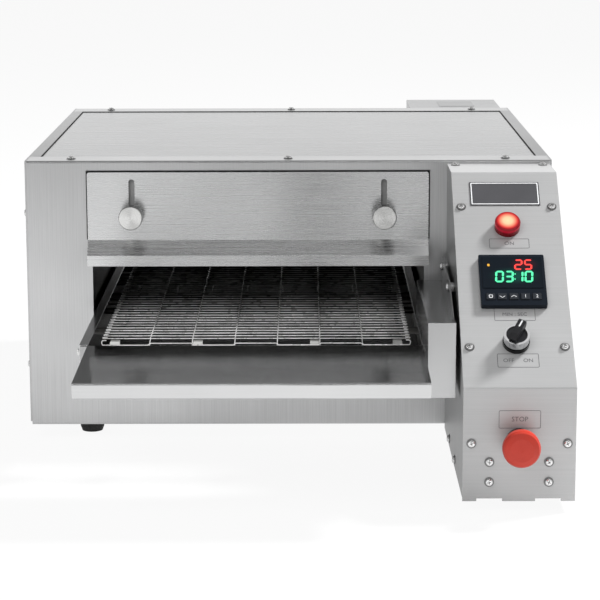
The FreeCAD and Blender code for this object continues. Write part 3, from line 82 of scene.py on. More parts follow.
# %% Camera
CAMERA_PLACE = Vector((0.0229, -2.92581, 0.66975))
CAMERA_LENS = 134.92
CAMERA_TILT = math.radians(10.76)
CAMERA_TURN = math.radians(0.2)
CAMERA_ROLL = math.radians(-0.15)
SENSOR_WIDTH = 36


def put(name, data):
    """Makes an object that holds this data, and links it to the scene."""
    made = bpy.data.objects.new(name, data)
    scene.collection.objects.link(made)
    return made


camera = put("camera", bpy.data.cameras.new("camera"))
camera.data.sensor_width = SENSOR_WIDTH
camera.data.lens = CAMERA_LENS
turned = Matrix.Rotation(CAMERA_TURN, 4, "Z") @ Matrix.Rotation(math.pi / 2 - CAMERA_TILT, 4, "X")
camera.matrix_world = Matrix.Translation(CAMERA_PLACE) @ turned @ Matrix.Rotation(CAMERA_ROLL, 4, "Z")
scene.camera = camera
print("camera", [round(x, 3) for x in camera.location], "lens", CAMERA_LENS)

# %% [markdown]
# ## Node helpers
# Every finish below is a small graph of shader nodes. Graphs can be wired by hand in the editor, but a
# script can be run again. One helper adds a node, sets its properties and fills its inputs: an input that is
# given another node, or one of its outputs, is linked, and any other value is set. The others are short
# names for the nodes that are used most.

# %% Node helpers
NOISE_LOW = 0.3
NOISE_HIGH = 0.7


def add(tree, kind, inputs=None, **properties):
    """Adds a node to a tree, with its properties set and its inputs set or linked."""
    node = tree.nodes.new(kind)
    for key, value in properties.items():
        setattr(node, key, value)
    for key, value in (inputs or {}).items():
        if isinstance(value, bpy.types.Node):
            value = next(output for output in value.outputs if output.enabled)
        if isinstance(value, bpy.types.NodeSocket):
            tree.links.new(value, node.inputs[key])
        else:
            node.inputs[key].default_value = value
    return node


def maths(tree, operation, *values):
    """A Math node on one, two or three values."""
    return add(tree, "ShaderNodeMath", dict(enumerate(values)), operation=operation)


def vector_maths(tree, operation, *values):
    """A Vector Math node on one or two values."""
    keys = (0, "Scale") if operation == "SCALE" else (0, 1)
    return add(tree, "ShaderNodeVectorMath", dict(zip(keys, values)), operation=operation)


def ranged(tree, value, start, stop, low, high, **properties):
    """Maps a value from one range onto another."""
    return add(tree, "ShaderNodeMapRange", {
        "Value": value, "From Min": start, "From Max": stop, "To Min": low, "To Max": high}, **properties)


def spread(tree, noise, middle, swing):
    """Maps a noise, which lies mostly between two values, onto a range about a middle."""
    return ranged(tree, noise, NOISE_LOW, NOISE_HIGH, middle - swing, middle + swing)


def blank(name):
    """A material whose graph is still empty, and that graph."""
    material = bpy.data.materials.new(name)
    material.use_nodes = True
    material.node_tree.nodes.clear()
    return material, material.node_tree


def surface(tree, kind, inputs):
    """Adds the shader that a material ends in, and links it to the output."""
    add(tree, "ShaderNodeOutputMaterial", {"Surface": add(tree, kind, inputs)})


print("helpers ready")

# %% [markdown]
# ## The white room
# Bare steel has no colour of its own to speak of: it shows the room. So the room is built as a
# photographer builds one, with a white background and a white floor. More light would whiten them too, but
# it would wash out the steel. Here they are white to the camera and to reflections, and give little light
# to the oven. The floor keeps a little shadow under the feet.

# %% World and floor
AMBIENT = 0.3
FLOOR_TONE = 0.85
FLOOR_GLOW = 0.92
FLOOR_GLOW_IN_STEEL = 0.6
FLOOR_REACH = 30.0
WHITE = (1, 1, 1, 1)


def seen(tree, in_camera, in_mirrors):
    """One level for camera rays, another for mirror and glass rays, and nought for scattered light."""
    path = add(tree, "ShaderNodeLightPath").outputs
    both = maths(tree, "MAXIMUM", path["Is Glossy Ray"], path["Is Transmission Ray"])
    mirrored = maths(tree, "MULTIPLY", both, in_mirrors)
    return maths(tree, "MULTIPLY_ADD", path["Is Camera Ray"], in_camera, mirrored)


def flat_quad(name, centre, across, along, material):
    """A rectangle of the studio, from its centre and two half sides."""
    corners = [centre - across - along, centre + across - along,
               centre + across + along, centre - across + along]
    mesh = bpy.data.meshes.new(name)
    mesh.from_pydata([tuple(corner) for corner in corners], [], [(0, 1, 2, 3)])
    mesh.materials.append(material)
    quad = put(name, mesh)
    return quad


world = bpy.data.worlds.new("studio")
world.use_nodes = True
room = world.node_tree
room.nodes.clear()
level = ranged(room, seen(room, 1.0, 1.0), 0.0, 1.0, AMBIENT, 1.0)
backdrop = add(room, "ShaderNodeBackground", {"Color": WHITE, "Strength": level})
add(room, "ShaderNodeOutputWorld", {"Surface": backdrop})
scene.world = world

floor_white, tree = blank("floor_white")
matt = add(tree, "ShaderNodeBsdfDiffuse", {"Color": (FLOOR_TONE, FLOOR_TONE, FLOOR_TONE, 1)})
shine = add(tree, "ShaderNodeEmission", {"Color": WHITE, "Strength": 1.0})
surface(tree, "ShaderNodeMixShader", {0: seen(tree, FLOOR_GLOW, FLOOR_GLOW_IN_STEEL), 1: matt, 2: shine})
flat_quad("floor", Vector(), Vector((FLOOR_REACH, 0, 0)), Vector((0, FLOOR_REACH, 0)), floor_white)
print("world", round(AMBIENT, 2), "on the oven, floor", 2 * FLOOR_REACH, "m wide")

# %% [markdown]
# ## Cards and lamps
# A sheet of metal that sees nothing but white looks like grey paper. So cards stand above and around the
# oven, lighter or darker than the room. Real cards would also throw shadows and show in the picture. These
# are hidden from every ray but reflections. Two soft lamps light the oven and draw its shadows.

# %% Cards and lamps
LOW_BOARDS = [(-0.24, -0.01, 0.85), (-0.01, 0.075, 0.0), (0.075, 0.4, 0.6)]
LOW_BOARD_PLACE = -1.6
LOW_BOARD_HALF = 0.165
FLAG_BEARINGS = (72, 118, 152, 208, 242, 288)
FLAG_DISTANCE = 3.2
FLAG_HALF_WIDTH = 0.45
FLAG_HALF_HEIGHT = 1.0
FLAG_LEVEL = 0.4


def card(name, centre, across, along, level):
    """A card that only reflections see."""
    material, tree = blank(name)
    surface(tree, "ShaderNodeEmission", {"Color": WHITE, "Strength": level})
    board = flat_quad(name, Vector(centre), Vector(across), Vector(along), material)
    board.visible_camera = False
    board.visible_diffuse = False
    board.visible_shadow = False
    board.visible_transmission = False


def soft_lamp(name, place, aim, size, power):
    """A square area lamp that lights surfaces but doesn't show in reflections."""
    lamp = put(name, bpy.data.lights.new(name, "AREA"))
    lamp.data.size = size
    lamp.data.energy = power
    lamp.location = place
    lamp.rotation_euler = (Vector(aim) - Vector(place)).to_track_quat("-Z", "Y").to_euler()
    lamp.visible_glossy = False


card("overhead_card", (0, 0.13, 0.98), (1.0, 0, 0), (0, 0.67, 0), 0.35)
card("lip_card", (-0.4, -0.85, 0.98), (0.6, 0, 0), (0, 0.35, 0), 0.25)
card("strip_card", (0, -2.6, 1.9), (1.6, 0, 0), (0, 0.12, 0.16), 3.0)
card("room_card", (0, -3.2, 2.45), (2.6, 0, 0), (0, 0, 2.1), 0.12)
for number, (left, right, level) in enumerate(LOW_BOARDS):
    middle = ((left + right) / 2, LOW_BOARD_PLACE, LOW_BOARD_HALF)
    card(f"low_board_{number}", middle, ((right - left) / 2, 0, 0), (0, 0, LOW_BOARD_HALF), level)
for bearing in FLAG_BEARINGS:
    out = Vector((math.sin(math.radians(bearing)), -math.cos(math.radians(bearing)), 0))
    side = Vector((-out.y, out.x, 0))
    upright = Vector((0, 0, FLAG_HALF_HEIGHT))
    card(f"flag_{bearing}", out * FLAG_DISTANCE + upright, side * FLAG_HALF_WIDTH, upright, FLAG_LEVEL)
soft_lamp("key_lamp", (2.57, 0.71, 3.17), (0.25, -0.57, 0.17), 0.7, 350)
soft_lamp("front_lamp", (-0.9, -1.9, 1.7), (0, -0.3, 0.15), 1.4, 22)

# %% [markdown]
# ## Brushed steel
# Sheet steel is ground with a belt, which leaves fine lines in one direction. Light that meets the lines
# is spread across them and hardly along them, which is what anisotropy in the shader does. The lines
# could come from a picture, but a noise drawn out along the grinding direction never repeats. A second,
# soft noise stands for the faint cloudiness of a handled sheet. The sheet's bent edges catch a thin light
# through a bevelled normal.

# %% Brushed steel
LINES_PER_METRE = 900.0
LINE_LENGTHS_PER_METRE = 9.0
CLOUDS_PER_METRE = 7.0
LINE_BUMP = 0.06
GRAIN_DEPTH = 0.2 * MM
SHEET_EDGE = 0.6 * MM
ROUGH_SWING = 0.05
COLD_TINT = 0.005
LIP_START = 4 * MM
LIP_END = 1 * MM


def own_place(tree):
    """Where a point of the surface lies, in metres."""
    return add(tree, "ShaderNodeTexCoord").outputs["Object"]


def parts_of(tree, vector):
    """The X, Y and Z of a vector."""
    return add(tree, "ShaderNodeSeparateXYZ", {"Vector": vector}).outputs


def object_noise(tree, scale, detail=2.0):
    """Noise on the object's own coordinates, with a scale for each axis."""
    mapped = add(tree, "ShaderNodeMapping", {"Vector": own_place(tree), "Scale": scale})
    return add(tree, "ShaderNodeTexNoise", {
        "Vector": mapped, "Scale": 1.0, "Detail": detail, "Roughness": 0.55})


def toned(tree, tone, *factors):
    """A colour times one or more changing factors."""
    product = factors[0]
    for factor in factors[1:]:
        product = maths(tree, "MULTIPLY", product, factor)
    return vector_maths(tree, "SCALE", tone, product)


def soft_edge_bump(tree, height, strength, edge, depth=GRAIN_DEPTH):
    """A bump whose ground normal is rounded at the edges."""
    rounded = add(tree, "ShaderNodeBevel", {"Radius": edge}, samples=4)
    return add(tree, "ShaderNodeBump", {
        "Height": height, "Strength": strength, "Distance": depth, "Normal": rounded})


def painted_dark_flat(tree, reach, share):
    """One at the far lips of the trays, and less on their flats: a painted dark reflection."""
    depth = maths(tree, "ABSOLUTE", parts_of(tree, own_place(tree))["Y"])
    return ranged(tree, depth, reach - LIP_START, reach - LIP_END, share, 1.0)


def brushed(name, tone, grain, across, rough=0.3, stretch=0.65, contrast=0.05, clouds=0.05, metal=1.0,
            dark_flat_reach=None):
    """Steel with grinding lines along one axis, whose light spreads along a vector across them."""
    material, tree = blank(name)
    scale = [LINE_LENGTHS_PER_METRE if axis == grain else LINES_PER_METRE for axis in "xyz"]
    lines = object_noise(tree, scale, 3.0)
    cloud = object_noise(tree, [CLOUDS_PER_METRE] * 3)
    factors = [spread(tree, lines, 1, contrast), spread(tree, cloud, 1, clouds)]
    # Painted reflection: the tray's flat is darkened and its lip is left bright.
    if dark_flat_reach:
        factors.append(painted_dark_flat(tree, *dark_flat_reach))
    surface(tree, "ShaderNodeBsdfPrincipled", {
        "Base Color": toned(tree, (tone * (1 - COLD_TINT), tone, tone * (1 + COLD_TINT)), *factors),
        "Metallic": metal, "Anisotropic": stretch,
        "Tangent": add(tree, "ShaderNodeCombineXYZ", dict(zip("XYZ", across))),
        "Roughness": spread(tree, lines, rough, ROUGH_SWING),
        "Normal": soft_edge_bump(tree, lines, LINE_BUMP, SHEET_EDGE)})
    return material


print("grinding lines:", LINES_PER_METRE, "to the metre")

# %% [markdown]
# ## The steel sheets
# All the sheets are the same kind of steel, but they come from different rolls and have seen different use.
# One steel for all would be simpler, and would make the cabinet look like a single casting. So each sheet has
# its own tone and gloss, the axis that its lines run along, and a direction across them for the light. The
# console housing's darker tone is painted shade.

# %% Steel sheets
ACROSS_X = (1.0, 0.04, 0.03)
ACROSS_Y = (0.04, 1.0, 0.03)
ACROSS_Z = (0.03, 0.04, 1.0)
steel_upright = brushed("steel_upright_lines", 0.58, "z", ACROSS_X, rough=0.34, contrast=0.08)
steel_side = brushed("steel_side_sheet", 0.56, "z", ACROSS_Y, rough=0.34, contrast=0.06)
steel_top = brushed("steel_top_sheet", 0.62, "x", ACROSS_Y, rough=0.28, clouds=0.03)
steel_gate = brushed("steel_gate", 0.72, "x", ACROSS_Z, rough=0.26, stretch=0.85, contrast=0.09)
# The tray's flat carries a painted dark reflection.
steel_tray = brushed("steel_tray", 0.58, "x", ACROSS_Y, rough=0.1, stretch=0.2, contrast=0.03, clouds=0.03,
                     dark_flat_reach=(-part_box("front_tray")[0].y, 0.64))
steel_rail = brushed("steel_rail", 0.56, "y", ACROSS_Z, rough=0.22, stretch=0.4)
steel_console = brushed("steel_console", 0.46, "x", ACROSS_Z, rough=0.4, stretch=0.3, contrast=0.04,
                        metal=0.4)
steel_guard = brushed("steel_guard", 0.48, "y", ACROSS_Z, rough=0.22, stretch=0.4)
# Painted shade: a darker copy of the case steel, standing for the dark floor that the housing mirrors under
# the oven.
steel_housing_shaded = brushed("steel_housing_shaded", 0.36, "z", ACROSS_Y, rough=0.36, stretch=0.5)
steel_case = brushed("steel_case", 0.60, "z", ACROSS_Y, rough=0.36, stretch=0.5)
print("brushed steels:", len([m for m in bpy.data.materials if m.name.startswith("steel_")]))

# %% [markdown]
# ## Plastics, rubber and plain metals
# Plastics are moulded with a fine grain, which shows in their gloss more than in their colour. One function
# with a few dials makes them all: the rubber feet and the wool are rougher and cloudier. The tunnel's steel
# is heat stained and uneven, and is also darkened nearly to black as painted shade inside the tunnel.
# Separate graphs would say the same thing many times.

# %% Grained finishes
STAINS_PER_METRE = 25.0


def plain(name, tone, rough, metal=0.0, grain=1200.0, uneven=0.06, bump=0.04, edge=0.5 * MM, sheen=0.5):
    """A finish with fine grain: plastic, rubber, cast or stained metal."""
    material, tree = blank(name)
    fine = object_noise(tree, [grain] * 3)
    cloud = object_noise(tree, [STAINS_PER_METRE] * 3)
    surface(tree, "ShaderNodeBsdfPrincipled", {
        "Base Color": toned(tree, tone, spread(tree, cloud, 1, uneven), spread(tree, fine, 1, uneven / 2)),
        "Metallic": metal, "Specular IOR Level": sheen,
        "Roughness": spread(tree, fine, rough, ROUGH_SWING),
        "Normal": soft_edge_bump(tree, fine, bump, edge)})
    return material


polished = plain("polished_steel", (0.76, 0.76, 0.76), 0.2, metal=1.0, uneven=0.05, bump=0.02, edge=0.4 * MM)
# Heat stain and painted shade: the tunnel's steel is made nearly black.
stained_and_shaded = plain("heat_stained_and_shaded_steel", (0.07, 0.068, 0.065), 0.5, metal=1.0, uneven=0.3, grain=300.0)
cast = plain("cast_aluminium", (0.50, 0.51, 0.52), 0.5, metal=1.0, uneven=0.1, grain=700.0, bump=0.15)
nylon = plain("grey_nylon", (0.36, 0.36, 0.35), 0.45)
rubber = plain("foot_rubber", (0.025, 0.025, 0.025), 0.7, uneven=0.15, bump=0.12)
black = plain("black_plastic", (0.012, 0.012, 0.014), 0.42, grain=1800.0, sheen=0.35)
face_black = plain("timer_case", (0.006, 0.009, 0.014), 0.4, grain=1800.0, sheen=0.15)
key_grey = plain("key_rubber", (0.022, 0.025, 0.030), 0.5, grain=1800.0, sheen=0.2)
grey = plain("grey_plastic", (0.42, 0.43, 0.44), 0.5)
stop_red = plain("stop_red", (0.42, 0.036, 0.022), 0.45, uneven=0.05, edge=1 * MM, sheen=0.25)
plate_grey = plain("plate_grey", (0.065, 0.065, 0.07), 0.4, sheen=0.3)
brass = plain("bush_brass", (0.66, 0.50, 0.25), 0.32, metal=1.0)
wool = plain("mineral_wool", (0.74, 0.71, 0.64), 0.9, uneven=0.2, grain=400.0, bump=0.4)
print("materials in the file:", len(bpy.data.materials))

# %% [markdown]
# ## Turned knobs and belt wire
# The knobs are turned on a lathe, so their lines run round in circles and the light falls in a fan. A
# tangent that points away from the axis does that. The noise reads the distance from the axis and nothing
# else, so it makes rings. Each knob's outer rim and side are darkened as painted shade. The wire is darkened
# as painted shade inside the tunnel and on the run that returns underneath.

# %% Turned and drawn metal
TURNING_LINES = 1900.0
TURNED_TONE = (0.80, 0.80, 0.79)
SIDE_SHADE_TONE = 0.2
SIDE_SHADE_START = 0.9 * MM
SIDE_SHADE_END = 0.2 * MM
WIRE_TONE = (0.80, 0.795, 0.79)
WIRE_CLOUDS = 60.0
# Painted shade: the wire darkens inside the tunnel and on the run that returns underneath.
TUNNEL_SHADE_STRETCH = (0.10, 0.30)
TUNNEL_SHADE_TONE = 0.5
RETURN_RUN_SHADE_SPAN = (0.118, 0.142)
RETURN_RUN_SHADE_TONE = 0.08
KNOBS = ["front_left_knob", "front_right_knob", "rear_left_knob", "rear_right_knob"]


def lathe_turned(knob):
    """Metal turned in circles about the middle of a knob, with painted shade darkening its rim and side."""
    material, tree = blank(knob + "_turned")
    low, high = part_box(knob)
    rim = (high.x - low.x) / 2
    away = vector_maths(tree, "SUBTRACT", own_place(tree), (low + high) / 2)
    radial = vector_maths(tree, "MULTIPLY", away, (1, 0, 1))
    reach = vector_maths(tree, "LENGTH", radial)
    # Painted shade: the outer rim and side of the knob are darkened.
    side_shade = ranged(tree, reach, rim - SIDE_SHADE_START, rim - SIDE_SHADE_END, 1.0, SIDE_SHADE_TONE)
    rings = add(tree, "ShaderNodeTexNoise", {"W": reach, "Scale": TURNING_LINES, "Detail": 2.0},
                noise_dimensions="1D")
    surface(tree, "ShaderNodeBsdfPrincipled", {
        "Base Color": toned(tree, TURNED_TONE, spread(tree, rings, 0.97, 0.09), side_shade),
        "Metallic": 1.0, "Anisotropic": 0.85, "Tangent": radial,
        "Roughness": spread(tree, rings, 0.26, 0.06),
        "Normal": soft_edge_bump(tree, rings, LINE_BUMP, 0.5 * MM, 0.1 * MM)})
    return material


def belt_wire_metal():
    """Bright wire, darkened by painted shade inside the tunnel and on the run that returns underneath."""
    material, tree = blank("belt_wire")
    parts = parts_of(tree, own_place(tree))
    # Painted shade, deeper inside the tunnel and lower down on the return run.
    tunnel_shade = ranged(tree, maths(tree, "ABSOLUTE", parts["Y"]), *TUNNEL_SHADE_STRETCH, TUNNEL_SHADE_TONE, 1.0)
    height = ranged(tree, parts["Z"], *RETURN_RUN_SHADE_SPAN, RETURN_RUN_SHADE_TONE, 1.0)
    cloud = object_noise(tree, [WIRE_CLOUDS] * 3)
    surface(tree, "ShaderNodeBsdfPrincipled", {
        "Base Color": toned(tree, WIRE_TONE, tunnel_shade, height, spread(tree, cloud, 0.975, 0.125)),
        "Metallic": 0.6, "Roughness": spread(tree, cloud, 0.29, 0.05)})
    return material


wire = belt_wire_metal()
knob_metals = [lathe_turned(knob) for knob in KNOBS]
print("knob metals:", len(knob_metals), "and", wire.name)

# %% [markdown]
# ## Places on the console's slope
# The lamp, the timer and the switch stand square on a sloping panel. Every place on it could be worked out
# from angles, one by one. It is simpler to read the slope once, from the axis that the switch turns about,
# and then to measure across the panel, down from its upper bend, and off its skin.

# %% Places on the slope
SELECTOR_DOWN = 248.5 * MM
selector_joint = joints["selector_turn"]
slope_out = Vector(selector_joint["axis"]).normalized()
slope_up = Vector((0, slope_out.z, -slope_out.y))
slope_zero = Vector(selector_joint["pos_m"]) + slope_up * SELECTOR_DOWN
UNIT_LINE = slope_zero.x
PANEL_MIDDLE = sum(corner.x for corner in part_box("control_panel")) / 2


def on_slope(across, down, lift=0.0):
    """A place on the console's slope: X, distance down from its upper bend, and height off its skin."""
    centre = slope_zero - slope_up * down + slope_out * lift
    centre.x = across
    turn = Matrix((Vector((1, 0, 0)), slope_up, slope_out)).transposed().to_4x4()
    return Matrix.Translation(centre) @ turn


def slope_place(tree, across, down):
    """Where a point of the surface lies, measured from a place on the slope."""
    own = on_slope(across, down).inverted()
    return add(tree, "ShaderNodeMapping", {
        "Vector": own_place(tree), "Location": own.to_translation(), "Rotation": own.to_euler()})


slope_tilt = math.degrees(math.atan2(-slope_out.y, slope_out.z))
print("slope tilted", round(slope_tilt, 2), "degrees from level")

# %% [markdown]
# ## The lamp's lens
# The pilot lamp is a red cap with a small bulb behind it. Its middle glows nearly white, and the colour
# deepens towards the rim and down the side. Glass with a lamp inside would need many samples, so the cap
# gives off its own light. The distance from the lamp's axis chooses the colour on top, and the height above
# the panel takes over on the side.

# %% Lamp lens
LAMP_DOWN = 84 * MM
LENS_RADIUS = 14.3 * MM
LENS_HEIGHT = 12 * MM
LENS_EDGE = 0.97
LENS_TOP = [(0.0, (1.0, 0.88, 0.52)), (0.36, (1.0, 0.74, 0.43)), (0.57, (1.0, 0.36, 0.22)),
            (0.74, (0.78, 0.07, 0.06)), (0.88, (0.30, 0.005, 0.014)), (1.0, (0.09, 0.0, 0.003))]
LENS_SIDE = [(0.0, (0.03, 0.0, 0.002)), (0.45, (0.07, 0.0, 0.003)), (0.68, (0.34, 0.003, 0.02)),
             (0.80, (0.28, 0.002, 0.014)), (0.9, (0.10, 0.0, 0.004))]


def ramp(tree, value, stops):
    """Colours that a value runs through, each at its own place."""
    node = add(tree, "ShaderNodeValToRGB", {"Fac": value})
    points = node.color_ramp.elements
    while len(points) < len(stops):
        points.new(0.5)
    for point, (place, colour) in zip(points, stops):
        point.position = place
        point.color = (*colour, 1)
    return node


lamp_red, tree = blank("lamp_red")
parts = parts_of(tree, slope_place(tree, UNIT_LINE, LAMP_DOWN))
flat = add(tree, "ShaderNodeCombineXYZ", {"X": parts["X"], "Y": parts["Y"]})
share = maths(tree, "DIVIDE", vector_maths(tree, "LENGTH", flat), LENS_RADIUS)
height = maths(tree, "DIVIDE", parts["Z"], LENS_HEIGHT)
colour = add(tree, "ShaderNodeMix", {
    "Factor": maths(tree, "GREATER_THAN", share, LENS_EDGE),
    "A": ramp(tree, share, LENS_TOP), "B": ramp(tree, height, LENS_SIDE)}, data_type="RGBA")
surface(tree, "ShaderNodeBsdfPrincipled", {
    "Base Color": (0.06, 0.0, 0.0, 1), "Roughness": 0.2, "Specular IOR Level": 0.2,
    "Emission Color": colour, "Emission Strength": 0.95})
print("lens:", len(LENS_TOP), "colours on top,", len(LENS_SIDE), "down the side")

# %% [markdown]
# ## The switch's ring and the timer's window
# The switch sits in a bright turned ring, whose lower band is darkened as painted shade. The height above
# the panel tells the band from the rest. The timer's window is nearly black, and its figures throw a faint
# light round them. Real light from such small figures would be noisy, so two soft ovals stand for it.

# %% Ring and window
RING_SHADE_LINE = 6 * MM
RING_BLEND = 0.3 * MM
RING_TONE = (0.62, 0.62, 0.63)
RING_CLOUDS = 90.0
RING_SHADE_TONE = 0.05
TIMER_DOWN = 165 * MM
GLOWS = [((2.6 * MM, 5.4 * MM), (34 * MM, 15 * MM), (0.0, 0.06, 0.035)),
         ((13.6 * MM, 21.6 * MM), (20 * MM, 12 * MM), (0.05, 0.003, 0.004))]

chrome, tree = blank("chromed_ring")
height = parts_of(tree, slope_place(tree, UNIT_LINE, SELECTOR_DOWN))["Z"]
# Painted shade: the lower band of the ring, up to about 6 mm above the panel, is darkened.
seat = ranged(tree, height, RING_SHADE_LINE - RING_BLEND, RING_SHADE_LINE + RING_BLEND, RING_SHADE_TONE, 1.0)
cloud = object_noise(tree, [RING_CLOUDS] * 3)
surface(tree, "ShaderNodeBsdfPrincipled", {
    "Base Color": toned(tree, RING_TONE, seat, spread(tree, cloud, 1, 0.05)),
    "Metallic": 1.0, "Roughness": spread(tree, cloud, 0.17, 0.03)})

glass_black, tree = blank("timer_window")
place = slope_place(tree, PANEL_MIDDLE, TIMER_DOWN)
lights = []
for centre, half, colour in GLOWS:
    away = vector_maths(tree, "SUBTRACT", place, (*centre, 0))
    shares = vector_maths(tree, "MULTIPLY", away, (1 / half[0], 1 / half[1], 0))
    reach = vector_maths(tree, "LENGTH", shares)
    fade = ranged(tree, reach, 0.0, 1.0, 1.0, 0.0, interpolation_type="SMOOTHERSTEP")
    lights.append(toned(tree, colour, fade))
surface(tree, "ShaderNodeBsdfPrincipled", {
    "Base Color": (0.005, 0.008, 0.012, 1), "Roughness": 0.2, "Specular IOR Level": 0.12,
    "Emission Color": vector_maths(tree, "ADD", *lights), "Emission Strength": 1.0})
print("materials in the file:", len(bpy.data.materials))

# %% [markdown]
# ## Dressing the metalwork
# Each node keeps its shape and place, and only its material slot is filled. The brushing direction is
# chosen piece by piece, as the sheets were cut: upright on the ends of the cabinet, level on the gates and
# trays, along the rails.

# %% Dress the nodes
DRESS = {
    steel_upright: ["front_panel", "rear_panel"],
    steel_side: ["left_side_panel", "right_side_panel", "motor_plate"],
    steel_top: ["top_panel", "bottom_pan"],
    steel_gate: ["front_gate", "rear_gate"],
    steel_tray: ["front_tray", "rear_tray"],
    steel_rail: ["left_rail", "right_rail"],
    steel_guard: ["drive_guard"],
    steel_console: ["control_panel"],
    steel_housing_shaded: ["control_housing"],
    steel_case: ["rear_box"],
    polished: ["cabinet_screws", "panel_screws", "tray_bolts", "drive_shaft", "idler_shaft", "gate_studs",
               "estop_stem", "temperature_probe"],
    wire: ["conveyor_belt"],
    stained_and_shaded: ["chamber_liner", "upper_heaters", "lower_heaters", "belt_support_rods", "drive_chain",
              "chain_wheel", "motor_sprocket"],
    cast: ["gear_motor"],
    nylon: ["drive_sprockets", "idler_sprockets"],
    rubber: ["rubber_feet"],
    black: ["selector_knob", "estop_base", "lamp_base", "cable_gland"],
    chrome: ["selector_bezel"],
    face_black: ["controller_case"],
    key_grey: [f"controller_key_{number}" for number in range(1, 6)],
    glass_black: ["controller_window"],
    grey: ["contactor", "terminal_block"],
    stop_red: ["estop_head"],
    lamp_red: ["lamp_lens"],
    plate_grey: ["name_plate"],
    brass: ["shaft_bushes"],
    wool: ["insulation"],
}
DRESS.update({metal: [knob] for metal, knob in zip(knob_metals, KNOBS)})
for material, names in DRESS.items():
    for name in names:
        slots = nodes[name].data.materials
        slots.clear()
        slots.append(material)
dressed = {name for names in DRESS.values() for name in names}
print("dressed", len(dressed), "nodes, left plain:", sorted(set(nodes) - dressed))

# %% [markdown]
# ## The wire belt
# The belt is made of bent wires. Each wire crosses the belt in seven straight stretches and steps to the
# next row between them, where it hooks under its neighbour. Modelling every wire by hand would be slow, so
# a Geometry Nodes tree does it: one wire is drawn as a path and given its thickness, copies are set out
# in a flat row, and the flat belt is then wrapped round the loop of the two shafts. Wrapping the points,
# and not only the copies, lets the wires lean over the turns as the real ones do.

# %% Belt path and one wire
BELT_SPACES = 7
SPACE_WIDTH = 48 * MM
ROW_PITCH = 15.2 * MM
STEP_ROWS = 1.25
WIRE_RADIUS = 0.65 * MM
WIRE_LIFT = 0.42 * MM
BELT_THICKNESS = 2.0 * MM
CORNER = 1.6 * MM
TURN_STEPS = 24
# Each point of the hook has its inset, its share of the step and its share of the lift.
HOOK = [(5 * MM, 0.55, -1), (CORNER, 0.55, -1), (0.3 * CORNER, 0.45, -0.6), (0, 0.3, 0),
        (0.3 * CORNER, 0.12, 0.6), (CORNER, 0, 1)]
belt_low, belt_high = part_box("conveyor_belt")
shaft = Vector(joints["drive_shaft_spin"]["pos_m"])
loop_radius = belt_high.z - shaft.z - BELT_THICKNESS / 2
loop_reach = -shaft.y
loop_length = 4 * loop_reach + 2 * math.pi * loop_radius
belt_rows = round(loop_length / ROW_PITCH)
row_pitch = loop_length / belt_rows


def path_object(name, points, closed=False):
    """A poly curve through points."""
    curve = bpy.data.curves.new(name, "CURVE")
    curve.dimensions = "3D"
    line = curve.splines.new("POLY")
    line.points.add(len(points) - 1)
    for point, place in zip(line.points, points):
        point.co = (*place, 1)
    line.use_cyclic_u = closed
    return put(name, curve)


def loop_points():
    """The belt's middle line: back along the top, round the rear shaft, and forward underneath."""
    points = []
    for end, start in ((1, math.pi / 2), (-1, -math.pi / 2)):
        for step in range(TURN_STEPS + 1):
            angle = start - math.pi * step / TURN_STEPS
            points.append((shaft.x, end * loop_reach + loop_radius * math.cos(angle),
                           shaft.z + loop_radius * math.sin(angle)))
    return points


def strand_points():
    """One wire across the belt: level stretches, joined by steps that pass under the next wire."""
    step = STEP_ROWS * row_pitch
    edge = (belt_high.x - belt_low.x) / 2 - WIRE_RADIUS
    joins = [(space - BELT_SPACES / 2) * SPACE_WIDTH for space in range(1, BELT_SPACES)]
    stops = [-edge] + joins + [edge]
    points = [(inset - edge, drop * step, lift * WIRE_LIFT) for inset, drop, lift in HOOK]
    for space in range(BELT_SPACES):
        near, inward, lift = (0.0, CORNER, WIRE_LIFT) if space % 2 == 0 else (step, -CORNER, -WIRE_LIFT)
        start, stop = stops[space], stops[space + 1]
        if space > 0:
            points += [(start, near + inward, lift), (start + CORNER, near, lift)]
        if space < BELT_SPACES - 1:
            points += [(stop - CORNER, near, lift), (stop, near + inward, lift)]
    points += [(edge - inset, drop * step, lift * WIRE_LIFT) for inset, drop, lift in HOOK[::-1]]
    return points


belt_loop = path_object("belt_loop", loop_points(), closed=True)
belt_strand = path_object("belt_strand", strand_points())
print("belt:", belt_rows, "wires,", round(row_pitch / MM, 2), "mm apart")

# %% [markdown]
# ## The tree that lays the belt
# The tree takes the drawn wire, gives it a round section, and sets copies a pitch apart in a flat sheet.
# Each point's distance along the sheet then picks a place on the loop, and its height is taken along the
# loop's outward direction. A modulo lets the last wires run on into the first, so the belt has no seam.
# Array and Curve modifiers could do much of this, but they don't close the loop exactly.

# %% Belt tree
WIRE_SIDES = 6


def new_tree(name, sizes):
    """A tree with geometry in and out and a named input for each size, and what it is given."""
    tree = bpy.data.node_groups.new(name, "GeometryNodeTree")
    for way in ("INPUT", "OUTPUT"):
        tree.interface.new_socket("Geometry", in_out=way, socket_type="NodeSocketGeometry")
    for label, value in sizes.items():
        kind = "NodeSocketInt" if isinstance(value, int) else "NodeSocketFloat"
        socket = tree.interface.new_socket(label, in_out="INPUT", socket_type=kind)
        socket.default_value = value
    return tree, add(tree, "NodeGroupInput").outputs


